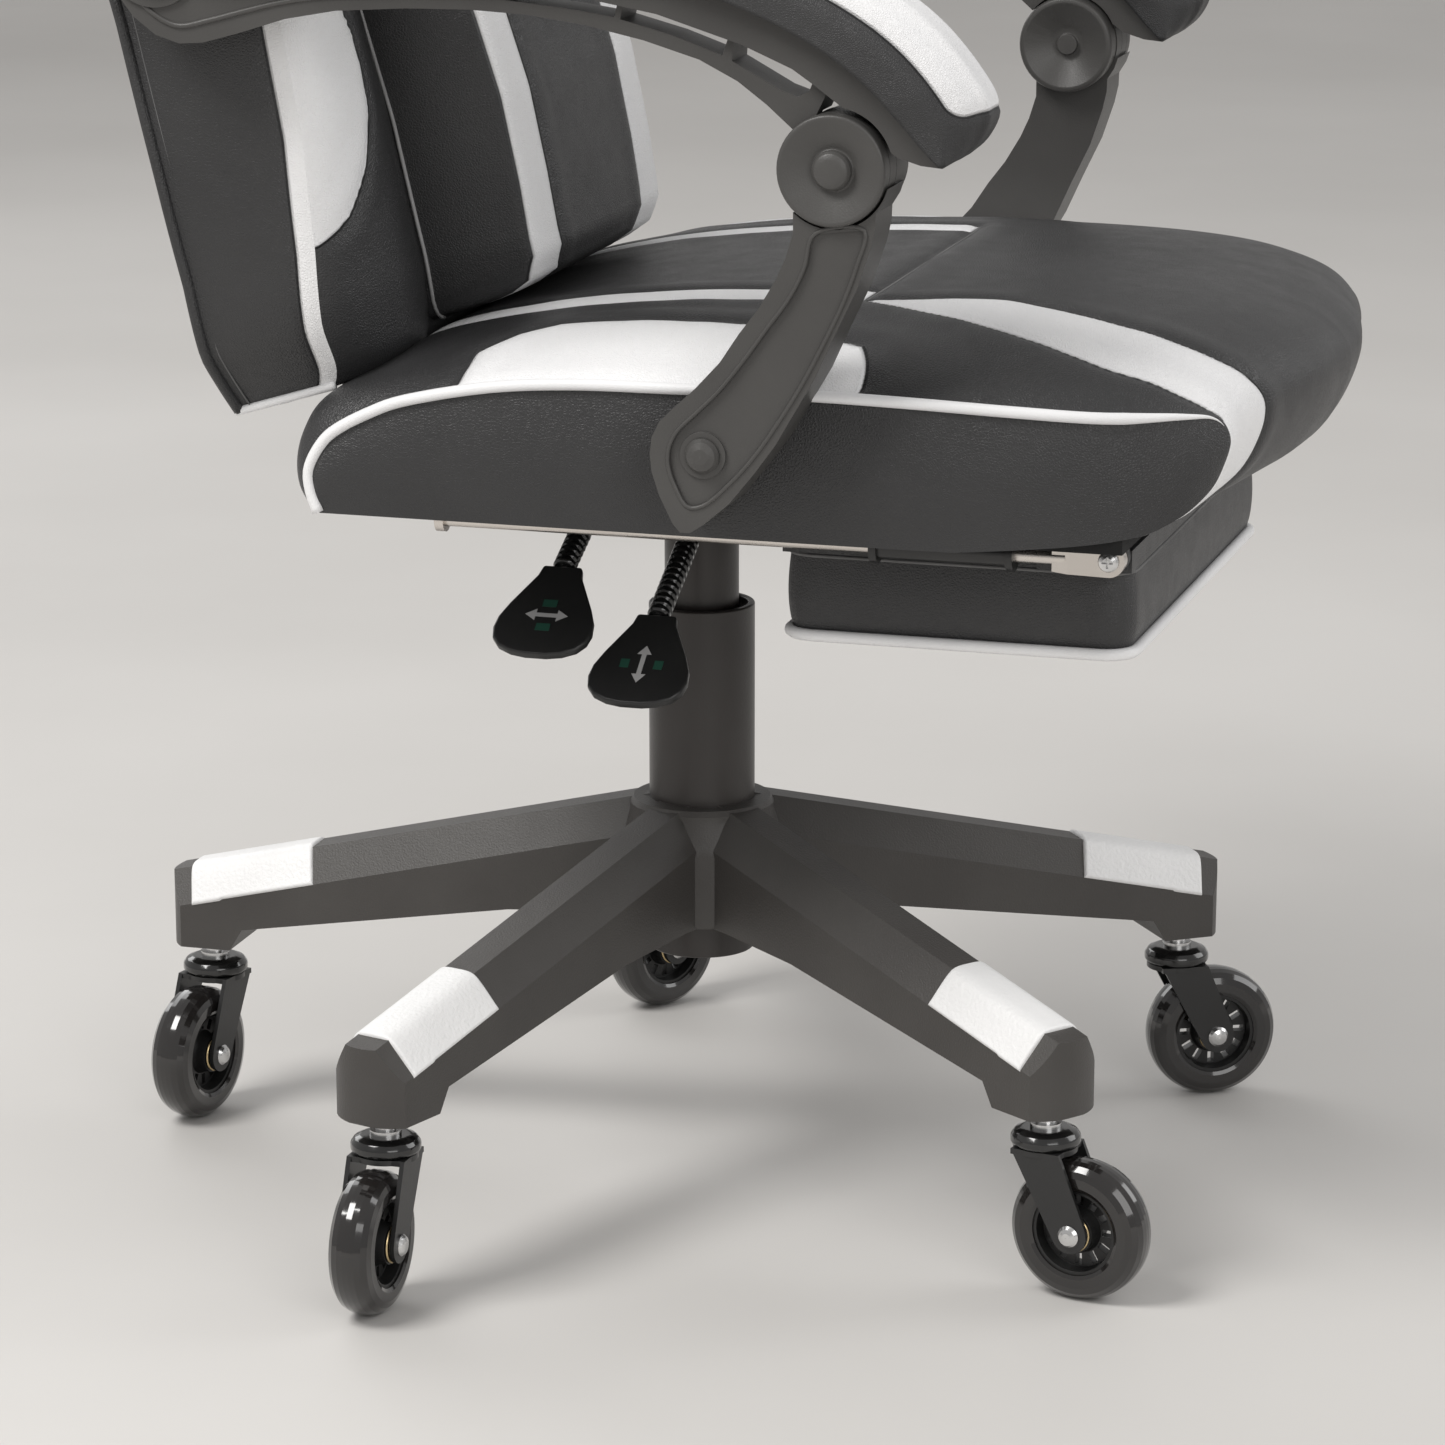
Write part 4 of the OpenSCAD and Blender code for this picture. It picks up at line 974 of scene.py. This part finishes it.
rows = rows + Np * (-0.9 * np.exp(-(mask / 2.0) ** 2) + 0.5 * np.exp(-((mask - 8) / 6) ** 2))[..., None] * np.clip(np.minimum(np.arange(nK), np.arange(nK)[::-1]) / 5.0, 0, 1)[None, :, None]
for s, nm in ((1, "right"), (-1, "left")):
    V = rows.copy()
    V[..., 0] *= s
    faces = grid_faces(nL, nK)
    faces.append([j for j in range(nK)])
    faces.append([(nL - 1) * nK + j for j in range(nK)][::-1])
    for i in range(nL - 1):
        faces.append((i * nK, (i + 1) * nK, (i + 1) * nK + nK - 1, i * nK + nK - 1))
    o = recalc(obj_from(f"arm_pad_cover_{nm}", V.reshape(-1, 3), faces, "pad", attr=mask.ravel()))
    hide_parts(f"arm_pad_{nm}")
    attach(o, "armrest_r" if nm == "right" else "armrest_l")

# ------------------------------------------------------------------ footrest pad
def rounded_rect(hx, y0, y1, r, n):
    pts = []
    for cx, cy, a0 in ((hx - r, y1 - r, 0), (-hx + r, y1 - r, 90), (-hx + r, y0 + r, 180), (hx - r, y0 + r, 270)):
        for t in np.linspace(0, 90, 9):
            a = math.radians(a0 + t)
            pts.append((cx + r * math.cos(a), cy + r * math.sin(a)))
    return resample(pts, n, closed=True, smooth=False)


nR = 240
ring = rounded_rect(167, -282, -96, 15, nR)
cen = np.array([0, -189.0])
rn = ring - np.roll(ring, 1, 0)
rn = np.stack([rn[:, 1], -rn[:, 0]], 1)
rn /= np.linalg.norm(rn, axis=1)[:, None]
layers = []
for t in np.linspace(0, 1, 14):
    z = 395.8 - 43.5 * t
    layers.append(np.column_stack([ring + rn * (1.8 * math.sin(math.pi * min(1, t * 1.02)) - 2.0 * t ** 10), np.full(nR, z)]))
for f in (0.99, 0.97, 0.94, 0.9, 0.84, 0.76, 0.66, 0.55, 0.42, 0.28, 0.14, 0.03):
    p = cen + (ring - cen) * f
    drop = 5.5 * (1 - f ** 3)
    layers.append(np.column_stack([p, 352.2 - drop - 0.7 * waves(p[:, 0], p[:, 1], 51, 90) * (1 - f)]))
o = recalc(obj_from("footrest_cover", np.vstack(layers), grid_faces(len(layers), nR, wrap_v=True) + [[(len(layers) - 1) * nR + j for j in range(nR)]], "leather"))
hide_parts("footrest_pad")
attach(o, "footrest")
o = tube("footrest_piping", np.column_stack([ring + rn * 0.6, np.full(nR, 351.6)]), 3.2, "white", n=nR, closed=True, smooth=False)
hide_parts("footrest_pad")
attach(o, "footrest")
o = tube("footrest_top_seam", np.column_stack([ring + rn * 0.4, np.full(nR, 394.6)]), 1.0, "thread", n=nR, closed=True, smooth=False, sides=8)
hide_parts("footrest_pad")
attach(o, "footrest")


# ------------------------------------------------------------------ small marks: lever arrows, bearing shields
def ry(a):
    return Matrix.Rotation(math.radians(a), 4, "Y")


def plate(name, polys, matrix, mat, body, z0=2.58, z1=2.78):
    """Thin printed shapes on a lever paddle: points are (across, along), pressed onto its upper face."""
    verts, faces = [], []
    for poly in polys:
        n, b = len(poly), len(verts)
        for d in (z0, z1):
            verts += [matrix @ Vector((d, u, v)) for u, v in poly]
        faces.append([b + i for i in range(n)][::-1])
        faces.append([b + n + i for i in range(n)])
        faces += [(b + i, b + (i + 1) % n, b + n + (i + 1) % n, b + n + i) for i in range(n)]
    o = recalc(obj_from(name, [tuple(v) for v in verts], faces, mat, smooth=False))
    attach(o, body)
    return o


for nm, pos, fall, bend, body in (("lift", (-40, -10, 383.4), 28, 8, "lift_lever"), ("lock", (-40, 43, 403.4), 25, 11, "lock_lever")):
    mtx = Matrix.Translation(Vector(pos)) @ ry(-(fall + 90)) @ Matrix.Translation(Vector((0, 0, 86))) @ ry(-bend)
    if nm == "lift":
        arrows = [[(-1.3, 29), (1.3, 29), (1.3, 43), (-1.3, 43)], [(-4, 43), (4, 43), (0, 49)], [(-4, 29), (0, 23), (4, 29)]]
        marks = [[(-12, 33), (-7, 33), (-7, 39), (-12, 39)], [(7, 33), (12, 33), (12, 39), (7, 39)]]
    else:
        arrows = [[(-6, 34.7), (6, 34.7), (6, 37.3), (-6, 37.3)], [(6, 32), (12, 36), (6, 40)], [(-6, 32), (-6, 40), (-12, 36)]]
        marks = [[(-4, 25), (4, 25), (4, 30), (-4, 30)], [(-4, 42), (4, 42), (4, 47), (-4, 47)]]
    plate(f"{nm}_arrows", arrows, mtx, "ink_pale", body)
    plate(f"{nm}_marks", marks, mtx, "ink_green", body)

for k in range(1, 6):
    src = NODES[f"tyre_{k}"]
    pts = np.array([tuple(src.matrix_world @ v.co) for v in src.data.vertices]) * 1000
    c = (pts.min(0) + pts.max(0)) / 2
    hub = np.array([tuple(NODES[f"wheel_hub_{k}"].matrix_world @ v.co) for v in NODES[f"wheel_hub_{k}"].data.vertices]) * 1000
    ax = np.linalg.svd(pts - pts.mean(0), full_matrices=False)[2][2]
    near = hub[np.linalg.norm(np.cross(hub - c, ax), axis=1) < 13]
    reach = float(np.abs((near - c) @ ax).max()) if len(near) else 10.0
    u1 = np.cross(ax, [0, 0, 1.0])
    u1 /= np.linalg.norm(u1)
    u2 = np.cross(ax, u1)
    for s, nm in ((1, "a"), (-1, "b")):
        V = []
        for i in range(40):
            th = 2 * math.pi * i / 40
            d = math.cos(th) * u1 + math.sin(th) * u2
            for r, e in ((6.6, -0.4), (6.8, 0.25), (7.6, 0.45), (9.6, 0.45), (10.2, 0.2), (10.4, -0.4)):
                V.append(c + d * r + ax * s * (reach + e))
        o = recalc(obj_from(f"bearing_shield_{k}{nm}", V, grid_faces(40, 6, wrap_u=True), "gold"))
        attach(o, f"wheel_{k}")
